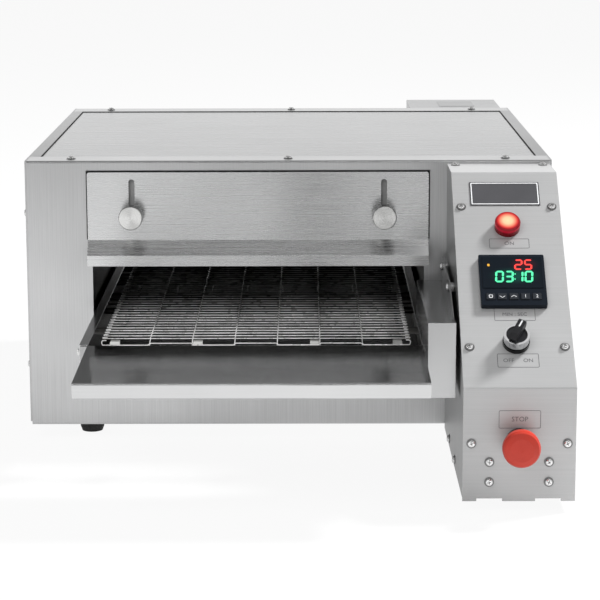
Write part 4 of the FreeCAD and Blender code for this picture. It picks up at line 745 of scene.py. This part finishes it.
def belt_tree(strand, loop, material):
    """Lays the wires in a flat sheet and wraps the sheet round the loop."""
    tree, given = new_tree("wire_belt_tree", {
        "Rows": 10, "Row Pitch": 0.01, "Wire Radius": 0.001, "Loop Length": 1.0})
    path = add(tree, "GeometryNodeObjectInfo", {"Object": strand}).outputs["Geometry"]
    ring = add(tree, "GeometryNodeCurvePrimitiveCircle", {
        "Resolution": WIRE_SIDES, "Radius": given["Wire Radius"]})
    tube = add(tree, "GeometryNodeCurveToMesh", {"Curve": path, "Profile Curve": ring, "Fill Caps": True})
    pitch = add(tree, "ShaderNodeCombineXYZ", {"Y": given["Row Pitch"]})
    rows = add(tree, "GeometryNodeMeshLine", {"Count": given["Rows"], "Offset": pitch}, mode="OFFSET")
    laid = add(tree, "GeometryNodeInstanceOnPoints", {"Points": rows, "Instance": tube})
    flat = add(tree, "GeometryNodeRealizeInstances", {"Geometry": laid})
    parts = parts_of(tree, add(tree, "GeometryNodeInputPosition"))
    along = maths(tree, "FLOORED_MODULO", parts["Y"], given["Loop Length"])
    track = add(tree, "GeometryNodeObjectInfo", {"Object": loop}).outputs["Geometry"]
    here = add(tree, "GeometryNodeSampleCurve", {"Curves": track, "Length": along}, mode="LENGTH").outputs
    outward = vector_maths(tree, "CROSS_PRODUCT", (1, 0, 0), here["Tangent"])
    lifted = vector_maths(tree, "SCALE", vector_maths(tree, "NORMALIZE", outward), parts["Z"])
    across = add(tree, "ShaderNodeCombineXYZ", {"X": parts["X"]})
    base = vector_maths(tree, "ADD", here["Position"], across)
    final = vector_maths(tree, "ADD", base, lifted)
    wrapped = add(tree, "GeometryNodeSetPosition", {"Geometry": flat, "Position": final})
    smooth = add(tree, "GeometryNodeSetShadeSmooth", {"Geometry": wrapped})
    painted = add(tree, "GeometryNodeSetMaterial", {"Geometry": smooth, "Material": material})
    add(tree, "NodeGroupOutput", {"Geometry": painted})
    return tree


def as_mesh(source):
    """The final mesh of an object, which is then removed."""
    depsgraph = bpy.context.evaluated_depsgraph_get()
    mesh = bpy.data.meshes.new_from_object(source.evaluated_get(depsgraph), depsgraph=depsgraph)
    bpy.data.objects.remove(source)
    return mesh


def grown(name, tree, sizes, start=None):
    """Runs a tree on a starting mesh, or an empty one, and keeps the result as a plain mesh object."""
    seed = put(name + "_seed", start or bpy.data.meshes.new(name + "_seed"))
    modifier = seed.modifiers.new("nodes", "NODES")
    modifier.node_group = tree
    for item in tree.interface.items_tree:
        if item.in_out == "INPUT" and item.name in sizes:
            modifier[item.identifier] = sizes[item.name]
    return put(name, as_mesh(seed))


wire_belt = grown("wire_belt", belt_tree(belt_strand, belt_loop, wire), {
    "Rows": belt_rows, "Row Pitch": row_pitch, "Wire Radius": WIRE_RADIUS, "Loop Length": loop_length})
for helper in (belt_strand, belt_loop):
    bpy.data.objects.remove(helper)
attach(wire_belt, "chassis")
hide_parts("conveyor_belt")
print("wire belt:", len(wire_belt.data.polygons), "faces")

# %% [markdown]
# ## The screws' seats
# Thirty-four pan head screws with washers hold the sheets together. In the frame each is a plain turned
# solid, so its seat needn't be measured by hand: the points of each solid are gathered, their spread gives
# the axis, and the wider end is the head.

# %% Screw seats
HEAD_HEIGHT = 3.4 * MM


def islands(mesh):
    """The points of each separate solid in a mesh."""
    group = list(range(len(mesh.vertices)))

    def root(point):
        while group[point] != point:
            group[point] = group[group[point]]
            point = group[point]
        return point

    for edge in mesh.edges:
        group[root(edge.vertices[0])] = root(edge.vertices[1])
    found = {}
    for vertex in mesh.vertices:
        found.setdefault(root(vertex.index), []).append(vertex.co)
    return list(found.values())


def merged(mesh):
    """A copy of a mesh whose doubled points are joined."""
    copy = bmesh.new()
    copy.from_mesh(mesh)
    bmesh.ops.remove_doubles(copy, verts=copy.verts, dist=1e-6)
    joined = bpy.data.meshes.new("joined")
    copy.to_mesh(joined)
    copy.free()
    return joined


def screw_seat(points):
    """Seat and direction of one screw: the axis of its points, towards the wider end."""
    cloud = np.array([tuple(p) for p in points])
    centre = cloud.mean(axis=0)
    spreads, directions = np.linalg.eigh(np.cov((cloud - centre).T))
    odd_one = 0 if spreads[1] - spreads[0] > spreads[2] - spreads[1] else 2
    axis = directions[:, odd_one]
    along = (cloud - centre) @ axis
    width = np.linalg.norm((cloud - centre) - np.outer(along, axis), axis=1)
    if width[along > 0].mean() < width[along < 0].mean():
        axis, along = -axis, -along
    return Vector(centre + axis * (along.max() - HEAD_HEIGHT)), Vector(axis)


screw_seats = {}
for node in ("cabinet_screws", "panel_screws"):
    screw_seats[node] = [screw_seat(points) for points in islands(merged(nodes[node].data))]
    print(node, len(screw_seats[node]), "seats")

# %% [markdown]
# ## One screw head
# A pan head is a rounded crown on a washer, with a four armed recess. It could be cut out with a boolean,
# but that leaves untidy faces. Here it is shaped as rings of points, from the washer's foot up to the crown
# and down into the recess, where a cosine draws the four arms. A mark on the faces of the washer and of the
# recess's floor tells them from the bright crown, so that they can be darkened as painted shade.

# %% Screw head
HEAD_SIDES = 32
HEAD_RINGS = [(5.3, 0.0), (5.3, 0.62), (5.12, 0.8), (4.02, 0.8),
              (4.0, 1.45), (3.84, 2.1), (3.4, 2.7), (2.7, 3.15)]
SHADED_LEVELS = (0, 1, 2)
RECESS_ARM = 2.05
RECESS_WAIST = 0.75
RECESS_TOP = 3.36
RECESS_FLOOR = 2.0
RECESS_TAPER = 0.7


def walled(mesh, below, above):
    """Adds the faces between two closed rows of points."""
    corners = zip(below, below[1:] + below[:1], above[1:] + above[:1], above)
    return [mesh.faces.new(four) for four in corners]


def head_mesh():
    """A washer and a rounded head with a four armed recess."""
    turns = [2 * math.pi * side / HEAD_SIDES for side in range(HEAD_SIDES)]
    arms = [RECESS_WAIST + (RECESS_ARM - RECESS_WAIST) * max(math.cos(4 * turn), 0.0) for turn in turns]
    rings = [([radius] * HEAD_SIDES, height) for radius, height in HEAD_RINGS]
    rings += [(arms, RECESS_TOP), ([arm * RECESS_TAPER for arm in arms], RECESS_FLOOR)]
    mesh = bmesh.new()
    rows = []
    for radii, height in rings:
        rows.append([mesh.verts.new(Vector((radius * math.cos(turn), radius * math.sin(turn), height)) * MM)
                     for radius, turn in zip(radii, turns)])
    # The mark picks the washer and recess floor faces that get painted shade.
    dull = mesh.faces.layers.int.new("dull")
    for cap in (rows[0][::-1], rows[-1]):
        mesh.faces.new(cap)[dull] = 1
    for level, (below, above) in enumerate(zip(rows, rows[1:])):
        for face in walled(mesh, below, above):
            face[dull] = int(level in SHADED_LEVELS)
    data = bpy.data.meshes.new("screw_head")
    mesh.to_mesh(data)
    mesh.free()
    return data


screw_head = put("screw_head", head_mesh())
print("one head:", len(screw_head.data.polygons), "faces")

# %% [markdown]
# ## The tree that sets the screws
# The seats come in as bare points that carry a direction. The tree stands a head on each and turns it by a
# chance angle about its own axis, as hand driven screws end up. A fixed seed keeps the angles the same in
# every run. Crowns are polished steel, while washers and the floors of the recesses are darkened as painted
# shade, so the mark on the head's faces chooses between two metals.

# %% Screw tree
SCREW_SEED = 7
SCREW_CREASE = 0.6


def screw_tree(head, bright, dull):
    """Stands a turned head on every seat and gives its faces their two metals."""
    tree, given = new_tree("screw_tree", {"Seed": 1, "Crease": 0.5})
    shape = add(tree, "GeometryNodeObjectInfo", {"Object": head, "As Instance": True}).outputs["Geometry"]
    facing = add(tree, "GeometryNodeInputNamedAttribute", {"Name": "facing"}, data_type="FLOAT_VECTOR")
    turn = add(tree, "FunctionNodeAlignRotationToVector", {"Vector": facing}, axis="Z")
    placed = add(tree, "GeometryNodeInstanceOnPoints", {
        "Points": given["Geometry"], "Instance": shape, "Rotation": turn})
    chance = add(tree, "FunctionNodeRandomValue", {"Max": math.pi, "Seed": given["Seed"]}, data_type="FLOAT")
    angle = add(tree, "ShaderNodeCombineXYZ", {"Z": chance})
    driven = add(tree, "GeometryNodeRotateInstances", {
        "Instances": placed, "Rotation": angle, "Local Space": True})
    solid = add(tree, "GeometryNodeRealizeInstances", {"Geometry": driven})
    sharpness = add(tree, "GeometryNodeInputMeshEdgeAngle")
    gentle = add(tree, "FunctionNodeCompare", {"A": sharpness, "B": given["Crease"]},
                 data_type="FLOAT", operation="LESS_THAN")
    edges = add(tree, "GeometryNodeSetShadeSmooth", {"Geometry": solid, "Shade Smooth": gentle},
                domain="EDGE")
    painted = add(tree, "GeometryNodeSetMaterial", {"Geometry": edges, "Material": bright})
    marked = add(tree, "GeometryNodeInputNamedAttribute", {"Name": "dull"}, data_type="INT")
    chosen = add(tree, "FunctionNodeCompare", {"A": marked, "B": 0}, data_type="INT",
                 operation="GREATER_THAN")
    darkened = add(tree, "GeometryNodeSetMaterial", {
        "Geometry": painted, "Selection": chosen, "Material": dull})
    add(tree, "NodeGroupOutput", {"Geometry": darkened})
    return tree


# Painted shade: washers and recess floors get this dark steel.
screw_shade_steel = plain("washer_and_recess_shade", (0.20, 0.20, 0.20), 0.34, metal=1.0, uneven=0.08, bump=0.03, edge=0.3 * MM)
screws_tree = screw_tree(screw_head, polished, screw_shade_steel)
for node, seats in screw_seats.items():
    seat_mesh = bpy.data.meshes.new(node + "_seats")
    seat_mesh.from_pydata([tuple(seat) for seat, axis in seats], [], [])
    facing = seat_mesh.attributes.new("facing", "FLOAT_VECTOR", "POINT")
    for index, (seat, axis) in enumerate(seats):
        facing.data[index].vector = axis
    heads = grown(node.replace("_screws", "_screw_heads"), screws_tree,
                  {"Seed": SCREW_SEED, "Crease": SCREW_CREASE}, seat_mesh)
    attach(heads, "chassis")
    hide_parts(node)
    print(heads.name, len(seats), "heads,", len(heads.data.polygons), "faces")
bpy.data.objects.remove(screw_head)

# %% [markdown]
# ## Flat pieces
# Print, digits and plates are thin slabs that lie on their carrier. A picture on the surface would be
# simpler, but it would be blurred close by. Each piece starts as an outline in its own plane, gets a
# thickness, and is then moved into place in its mesh. Rounded corners come from quarter circles, and the
# words from text objects that are turned into meshes.

# %% Slabs, frames and words
CORNER_STEPS = 5


def rounded_outline(width, height, radius):
    """Points round a rectangle with quarter circle corners, counter-clockwise about the middle."""
    points = []
    for quarter, (sx, sy) in enumerate(((1, 1), (-1, 1), (-1, -1), (1, -1))):
        for step in range(CORNER_STEPS + 1):
            angle = (quarter + step / CORNER_STEPS) * math.pi / 2
            points.append((sx * (width / 2 - radius) + radius * math.cos(angle),
                           sy * (height / 2 - radius) + radius * math.sin(angle)))
    return points


def row(mesh, outline, level, place):
    """Adds the points of an outline at one level above a place."""
    return [mesh.verts.new(place @ Vector((*point, level))) for point in outline]


def slab(mesh, outline, low, high, place):
    """Adds a closed prism over an outline to a mesh being built."""
    floor = row(mesh, outline, low, place)
    roof = row(mesh, outline, high, place)
    mesh.faces.new(floor[::-1])
    mesh.faces.new(roof)
    walled(mesh, floor, roof)


def framed(mesh, width, height, line, corners, thickness, place):
    """Adds a rectangular frame with lines of one width, and with its outer and inner corner radius."""
    outer = rounded_outline(width, height, corners[0])
    inner = rounded_outline(width - 2 * line, height - 2 * line, corners[1])
    rings = [row(mesh, outline, level, place) for outline, level in (
        (outer, 0), (outer, thickness), (inner, thickness), (inner, 0))]
    for ring, following in zip(rings, rings[1:] + rings[:1]):
        walled(mesh, ring, following)


def words(mesh, text, size, thickness, place):
    """Adds text, centred on a place, to a mesh being built."""
    curve = bpy.data.curves.new("words", "FONT")
    curve.body = text
    curve.size = size
    curve.align_x = "CENTER"
    curve.align_y = "CENTER"
    curve.extrude = thickness / 2
    curve.resolution_u = 3
    letters = as_mesh(put("words", curve))
    letters.transform(place @ Matrix.Translation((0, 0, thickness / 2)))
    mesh.from_mesh(letters)
    bpy.data.meshes.remove(letters)


def finished(name, mesh, material, body):
    """Closes a mesh being built and makes it a piece that rides on a body."""
    bmesh.ops.remove_doubles(mesh, verts=mesh.verts, dist=1e-7)
    bmesh.ops.recalc_face_normals(mesh, faces=mesh.faces)
    data = bpy.data.meshes.new(name)
    mesh.to_mesh(data)
    mesh.free()
    data.materials.append(material)
    made = put(name, data)
    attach(made, body)
    print(name, len(data.polygons), "faces on", body)


print("a rounded outline has", len(rounded_outline(1, 1, 0.1)), "points")

# %% [markdown]
# ## Signs on the console
# Four signs are printed on the console, each a thin frame with a plain word in it. The print is a grey
# ink, a little glossier than the steel. The wide plate at the top carries only a pale rim.

# %% Console signs
SIGN_WIDTH = 44.5 * MM
SIGN_LINE = 0.55 * MM
SIGN_CORNERS = (1.5 * MM, 0.95 * MM)
INK = 0.12 * MM
PLATE_WIDTH = 78.5 * MM
PLATE_HEIGHT = 35 * MM
PLATE_GAUGE = 0.8 * MM
PLATE_DOWN = 33.5 * MM
RIM_INSET = 1.2 * MM
RIM_WIDTH = 1.1 * MM
RIM_CORNERS = (1.0 * MM, 0.5 * MM)
ink = plain("grey_ink", (0.13, 0.13, 0.135), 0.5, grain=2500.0, bump=0.0)
pale_ink = plain("pale_print", (0.78, 0.79, 0.80), 0.45, grain=2500.0, bump=0.0)


def on_front(across, height):
    """A place on the console's upright face."""
    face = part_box("control_panel")[0].y
    return Matrix.Translation((across, face, height)) @ Matrix.Rotation(math.pi / 2, 4, "X")


SIGNS = [
    ("ON", 14.1, 7.0, on_slope(PANEL_MIDDLE, 107.5 * MM)),
    ("MIN : SEC", 17.7, 6.4, on_slope(PANEL_MIDDLE, 208.9 * MM)),
    ("OFF     ON", 18.5, 6.8, on_slope(PANEL_MIDDLE, 272.2 * MM)),
    ("STOP", 19.6, 7.4, on_front(PANEL_MIDDLE, 101.2 * MM)),
]
sign_mesh = bmesh.new()
for text, height, size, place in SIGNS:
    framed(sign_mesh, SIGN_WIDTH, height * MM, SIGN_LINE, SIGN_CORNERS, INK, place)
    words(sign_mesh, text, size * MM, INK, place)
finished("console_signs", sign_mesh, ink, "chassis")

rim_mesh = bmesh.new()
framed(rim_mesh, PLATE_WIDTH - 2 * RIM_INSET, PLATE_HEIGHT - 2 * RIM_INSET, RIM_WIDTH, RIM_CORNERS, INK,
       on_slope(UNIT_LINE, PLATE_DOWN, PLATE_GAUGE))
finished("name_plate_rim", rim_mesh, pale_ink, "chassis")

# %% [markdown]
# ## The timer's display
# The timer shows two figures in red and a clock in green, both of seven straight bars. Text would need a
# font with such figures. Here each bar is a long hexagon, so a digit is a choice of bars. The bars give off
# light of their own, and each figure leans a little, as such displays do. A faint noise keeps the light from
# being quite even along a bar.

# %% Display digits
BARS = {"a": (0, 1, 0), "b": (1, 0.5, 1), "c": (1, -0.5, 1), "d": (0, -1, 0), "e": (-1, -0.5, 1),
        "f": (-1, 0.5, 1), "g": (0, 0, 0)}
DIGITS = {"0": "abcdef", "1": "bc", "2": "abged", "3": "abgcd", "4": "fgbc", "5": "afgcd", "6": "afgcde",
          "7": "abc", "8": "abcdefg", "9": "abcdfg"}
LEAN = 0.07
BAR_GAP = 0.03
GLOW_CLOUDS = 260.0
UNLIT_SHARE = 0.3
FIGURE_PITCH = 10.7 * MM
COLON_RISE = 0.22
COLON_SHIFT = 0.9 * MM
COLON_DOT = 0.7
COLON_ROUND = 0.3
TIMER_FACE = 6.6 * MM


def glow(name, colour, strength):
    """A lit segment: its own light, a little uneven, over a dark plastic."""
    material, tree = blank(name)
    cloud = object_noise(tree, [GLOW_CLOUDS] * 3)
    surface(tree, "ShaderNodeBsdfPrincipled", {
        "Base Color": (*[c * UNLIT_SHARE for c in colour], 1), "Roughness": 0.4,
        "Emission Color": toned(tree, colour, spread(tree, cloud, 0.97, 0.11)),
        "Emission Strength": strength})
    return material


def on_timer(across, up):
    """A place on the timer's window, measured from its middle."""
    return on_slope(PANEL_MIDDLE + across, TIMER_DOWN - up, TIMER_FACE)


def digit(mesh, figure, width, height, bar, place):
    """Adds the lit bars of one figure."""
    half_w, half_h = (width - bar) / 2, (height - bar) / 2
    for letter in DIGITS[figure]:
        across, up, upright = BARS[letter]
        long = (half_h if upright else half_w * 2) / 2 - bar * BAR_GAP
        middle = Vector((across * half_w, up * half_h))
        shape = [(-long, 0), (-long + bar / 2, -bar / 2), (long - bar / 2, -bar / 2), (long, 0),
                 (long - bar / 2, bar / 2), (-long + bar / 2, bar / 2)]
        if upright:
            shape = [(-y, x) for x, y in shape]
        outline = [(middle.x + x + LEAN * (middle.y + y), middle.y + y) for x, y in shape]
        slab(mesh, outline, 0, INK, place)


def figures(name, text, width, height, bar, centre, material):
    """A row of figures on the timer's window, with a colon where the text has one."""
    mesh = bmesh.new()
    across = centre[0] - (len(text.replace(":", "")) - 1) / 2 * FIGURE_PITCH
    for figure in text:
        if figure == ":":
            for up in (-COLON_RISE * height, COLON_RISE * height):
                dot = on_timer(across - FIGURE_PITCH / 2 + COLON_SHIFT + LEAN * up, centre[1] + up)
                outline = rounded_outline(bar * COLON_DOT, bar * COLON_DOT, bar * COLON_ROUND)
                slab(mesh, outline, 0, INK, dot)
            continue
        digit(mesh, figure, width, height, bar, on_timer(across, centre[1]))
        across += FIGURE_PITCH
    finished(name, mesh, material, "chassis")


lit_red = glow("lit_red", (1.0, 0.06, 0.05), 1.0)
lit_green = glow("lit_green", (0.10, 0.92, 0.42), 1.0)
lit_amber = glow("lit_amber", (1.0, 0.50, 0.05), 0.7)
figures("upper_figures", "25", 9.2 * MM, 15.0 * MM, 2.1 * MM, (12.8 * MM, 21.0 * MM), lit_red)
figures("clock_figures", "03:10", 9.6 * MM, 16.4 * MM, 2.3 * MM, (1.9 * MM, 4.0 * MM), lit_green)
mark_mesh = bmesh.new()
slab(mark_mesh, rounded_outline(2.6 * MM, 3.6 * MM, 1.2 * MM), 0, INK, on_timer(-25.5 * MM, 20.5 * MM))
finished("heat_mark", mark_mesh, lit_amber, "chassis")

# %% [markdown]
# ## Key marks and the switch's pointer
# The five keys carry pale marks: a square, two arrow heads and two numbers. The switch has a pale line.
# They are printed on the real parts, and one mesh could hold them all. Here each is a piece of its own,
# because it must move with its key when that is pressed, or turn with the switch.

# %% Key marks and switch pointer
KEY_PITCH = 12.6 * MM
KEY_DROP = 24 * MM
KEY_TOP = 6.9 * MM
KEY_NUMBER = 6.0 * MM
CHEVRON = 3.0 * MM
SQUARE = 1.4 * CHEVRON
STROKE = 0.7 * MM
LEVER_TURN = math.radians(30)
LEVER_RISE = math.radians(11)
POINTER = (1.7 * MM, 8.0 * MM, 0.6 * MM)
POINTER_REACH = 7.4 * MM
POINTER_LIFT = 25.55 * MM


def chevron(mesh, up, place):
    """Adds an arrow head of two slanting bars."""
    tip = CHEVRON * 0.5 * up
    foot = -CHEVRON * 0.25 * up
    for half in (-CHEVRON, CHEVRON):
        outline = [(0, tip), (half, foot), (half, foot - STROKE), (0, tip - STROKE)]
        slab(mesh, outline if half < 0 else outline[::-1], 0, INK, place)


for number, mark in enumerate(("square", "down", "up", "1", "2"), start=1):
    key_mesh = bmesh.new()
    place = on_slope(PANEL_MIDDLE + (number - 3) * KEY_PITCH, TIMER_DOWN + KEY_DROP, KEY_TOP)
    if mark == "square":
        framed(key_mesh, SQUARE, SQUARE, STROKE, (STROKE, 0.3 * STROKE), INK, place)
    elif mark in ("up", "down"):
        chevron(key_mesh, 1 if mark == "up" else -1, place)
    else:
        words(key_mesh, mark, KEY_NUMBER, INK, place)
    finished(f"key_mark_{number}", key_mesh, pale_ink, f"key_{number}")

pointer_mesh = bmesh.new()
lever = on_slope(UNIT_LINE, SELECTOR_DOWN, POINTER_LIFT) @ Matrix.Rotation(-LEVER_TURN, 4, "Z")
lever = lever @ Matrix.Translation((0, POINTER_REACH, 0)) @ Matrix.Rotation(LEVER_RISE, 4, "X")
slab(pointer_mesh, rounded_outline(*POINTER), -INK, INK, lever)
finished("selector_pointer", pointer_mesh, pale_ink, "selector")

# %% [markdown]
# ## Strips and seals at the gates
# Behind each slot of the gates lies a dark fibre strip, which keeps the gate from rubbing the panel and
# also stands in for the shade in the gap, so it shows as a dark line through the slot. A thin black seal
# lies behind each gate's edge, as painted shadow for the gap round the gate. Dark paint on the sheets would
# look much the same at rest, but not once a gate is lowered. So both are slabs, and the seals ride on the
# gates.

# %% Strips and seals
STRIP_WIDTH = 9 * MM
STRIP_GAUGE = 0.4 * MM
STRIP_LOW = 6.6 * MM
STRIP_HIGH = 48 * MM
STRIP_CORNER = 1.5 * MM
SHADOW_SEAL_WIDTH = 5 * MM
SHADOW_SEAL_PEEP = 1.3 * MM
SHADOW_SEAL_DROP = 80 * MM
SHADOW_SEAL_FROM = 0.4 * MM
SHADOW_SEAL_TO = 2.98 * MM
# Painted shade: the slot strips are dark to stand for the shade in the gap behind the slots.
fibre_and_shade = plain("slot_fibre_and_shade", (0.28, 0.28, 0.28), 0.7, uneven=0.2, grain=600.0, bump=0.1)
# Painted shadow: the gate seals are black to stand for the shadow gap round the gates; the lid seam's mastic
# uses this black too.
seal_and_shadow_black = plain("seal_and_shadow_black", (0.015, 0.015, 0.015), 0.8, uneven=0.2, grain=600.0, bump=0.1, sheen=0.2)
half_depth = abs(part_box("front_panel")[0].y)
ENDS = {"front": -1, "rear": 1}


def arch(low, high, out):
    """The sides and top of a gate's outline, moved outwards."""
    left, right, top = low.x - out, high.x + out, high.z + out
    foot = high.z - SHADOW_SEAL_DROP
    return [(left, foot), (left, top), (right, top), (right, foot)]


strip_mesh = bmesh.new()
strip = rounded_outline(STRIP_WIDTH, STRIP_HIGH - STRIP_LOW, STRIP_CORNER)
for end, facing in ENDS.items():
    for hand in ("left", "right"):
        stud = Vector(joints[f"{end}_{hand}_knob_turn"]["pos_m"])
        middle = Vector((stud.x, facing * half_depth, stud.z + (STRIP_LOW + STRIP_HIGH) / 2))
        turn = Matrix.Rotation(math.pi / 2 * -facing, 4, "X")
        slab(strip_mesh, strip, 0, STRIP_GAUGE, Matrix.Translation(middle) @ turn)
finished("slot_strips", strip_mesh, fibre_and_shade, "chassis")

for end, facing in ENDS.items():
    low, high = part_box(f"{end}_gate")
    outline = arch(low, high, SHADOW_SEAL_PEEP) + arch(low, high, -SHADOW_SEAL_WIDTH)[::-1]
    upright = Matrix(((1, 0, 0, 0), (0, 0, facing, 0), (0, 1, 0, 0), (0, 0, 0, 1)))
    shadow_seal_mesh = bmesh.new()
    slab(shadow_seal_mesh, outline, half_depth + SHADOW_SEAL_FROM, half_depth + SHADOW_SEAL_TO, upright)
    finished(f"{end}_gate_seal", shadow_seal_mesh, seal_and_shadow_black, f"{end}_gate_slide")

# %% [markdown]
# ## The lid's seam and a blank plate
# A bead of dark mastic closes the joint between the lid and its rim, and a blank plate sits on top of the
# box at the back. A bead could be swept along a path. It is so thin that a flat frame does as well.

# %% Seam and plate
SEAM_WIDTH = 1.4 * MM
SEAM_HEIGHT = 0.9 * MM
SEAM_ROOM = 0.05 * MM
SEAM_CORNERS = (0.3 * MM, 0.3 * MM)
BLANK_PLATE = (51 * MM, 70 * MM, 2 * MM)
BLANK_GAUGE = 0.4 * MM
BLANK_MIDDLE = (239.5 * MM, 368 * MM)
seam_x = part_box("right_side_panel")[0].x - SEAM_ROOM
seam_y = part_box("rear_panel")[0].y - SEAM_ROOM
seam_mesh = bmesh.new()
framed(seam_mesh, 2 * seam_x, 2 * seam_y, SEAM_WIDTH - SEAM_ROOM, SEAM_CORNERS, SEAM_HEIGHT,
       Matrix.Translation((0, 0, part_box("top_panel")[1].z)))
finished("lid_seam", seam_mesh, seal_and_shadow_black, "chassis")

box_steel = brushed("steel_blank_plate", 0.46, "x", ACROSS_Y, rough=0.4, metal=0.8)
plate_mesh = bmesh.new()
slab(plate_mesh, rounded_outline(*BLANK_PLATE), 0, BLANK_GAUGE,
     Matrix.Translation((*BLANK_MIDDLE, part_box("rear_box")[1].z)))
finished("blank_plate", plate_mesh, box_steel, "chassis")
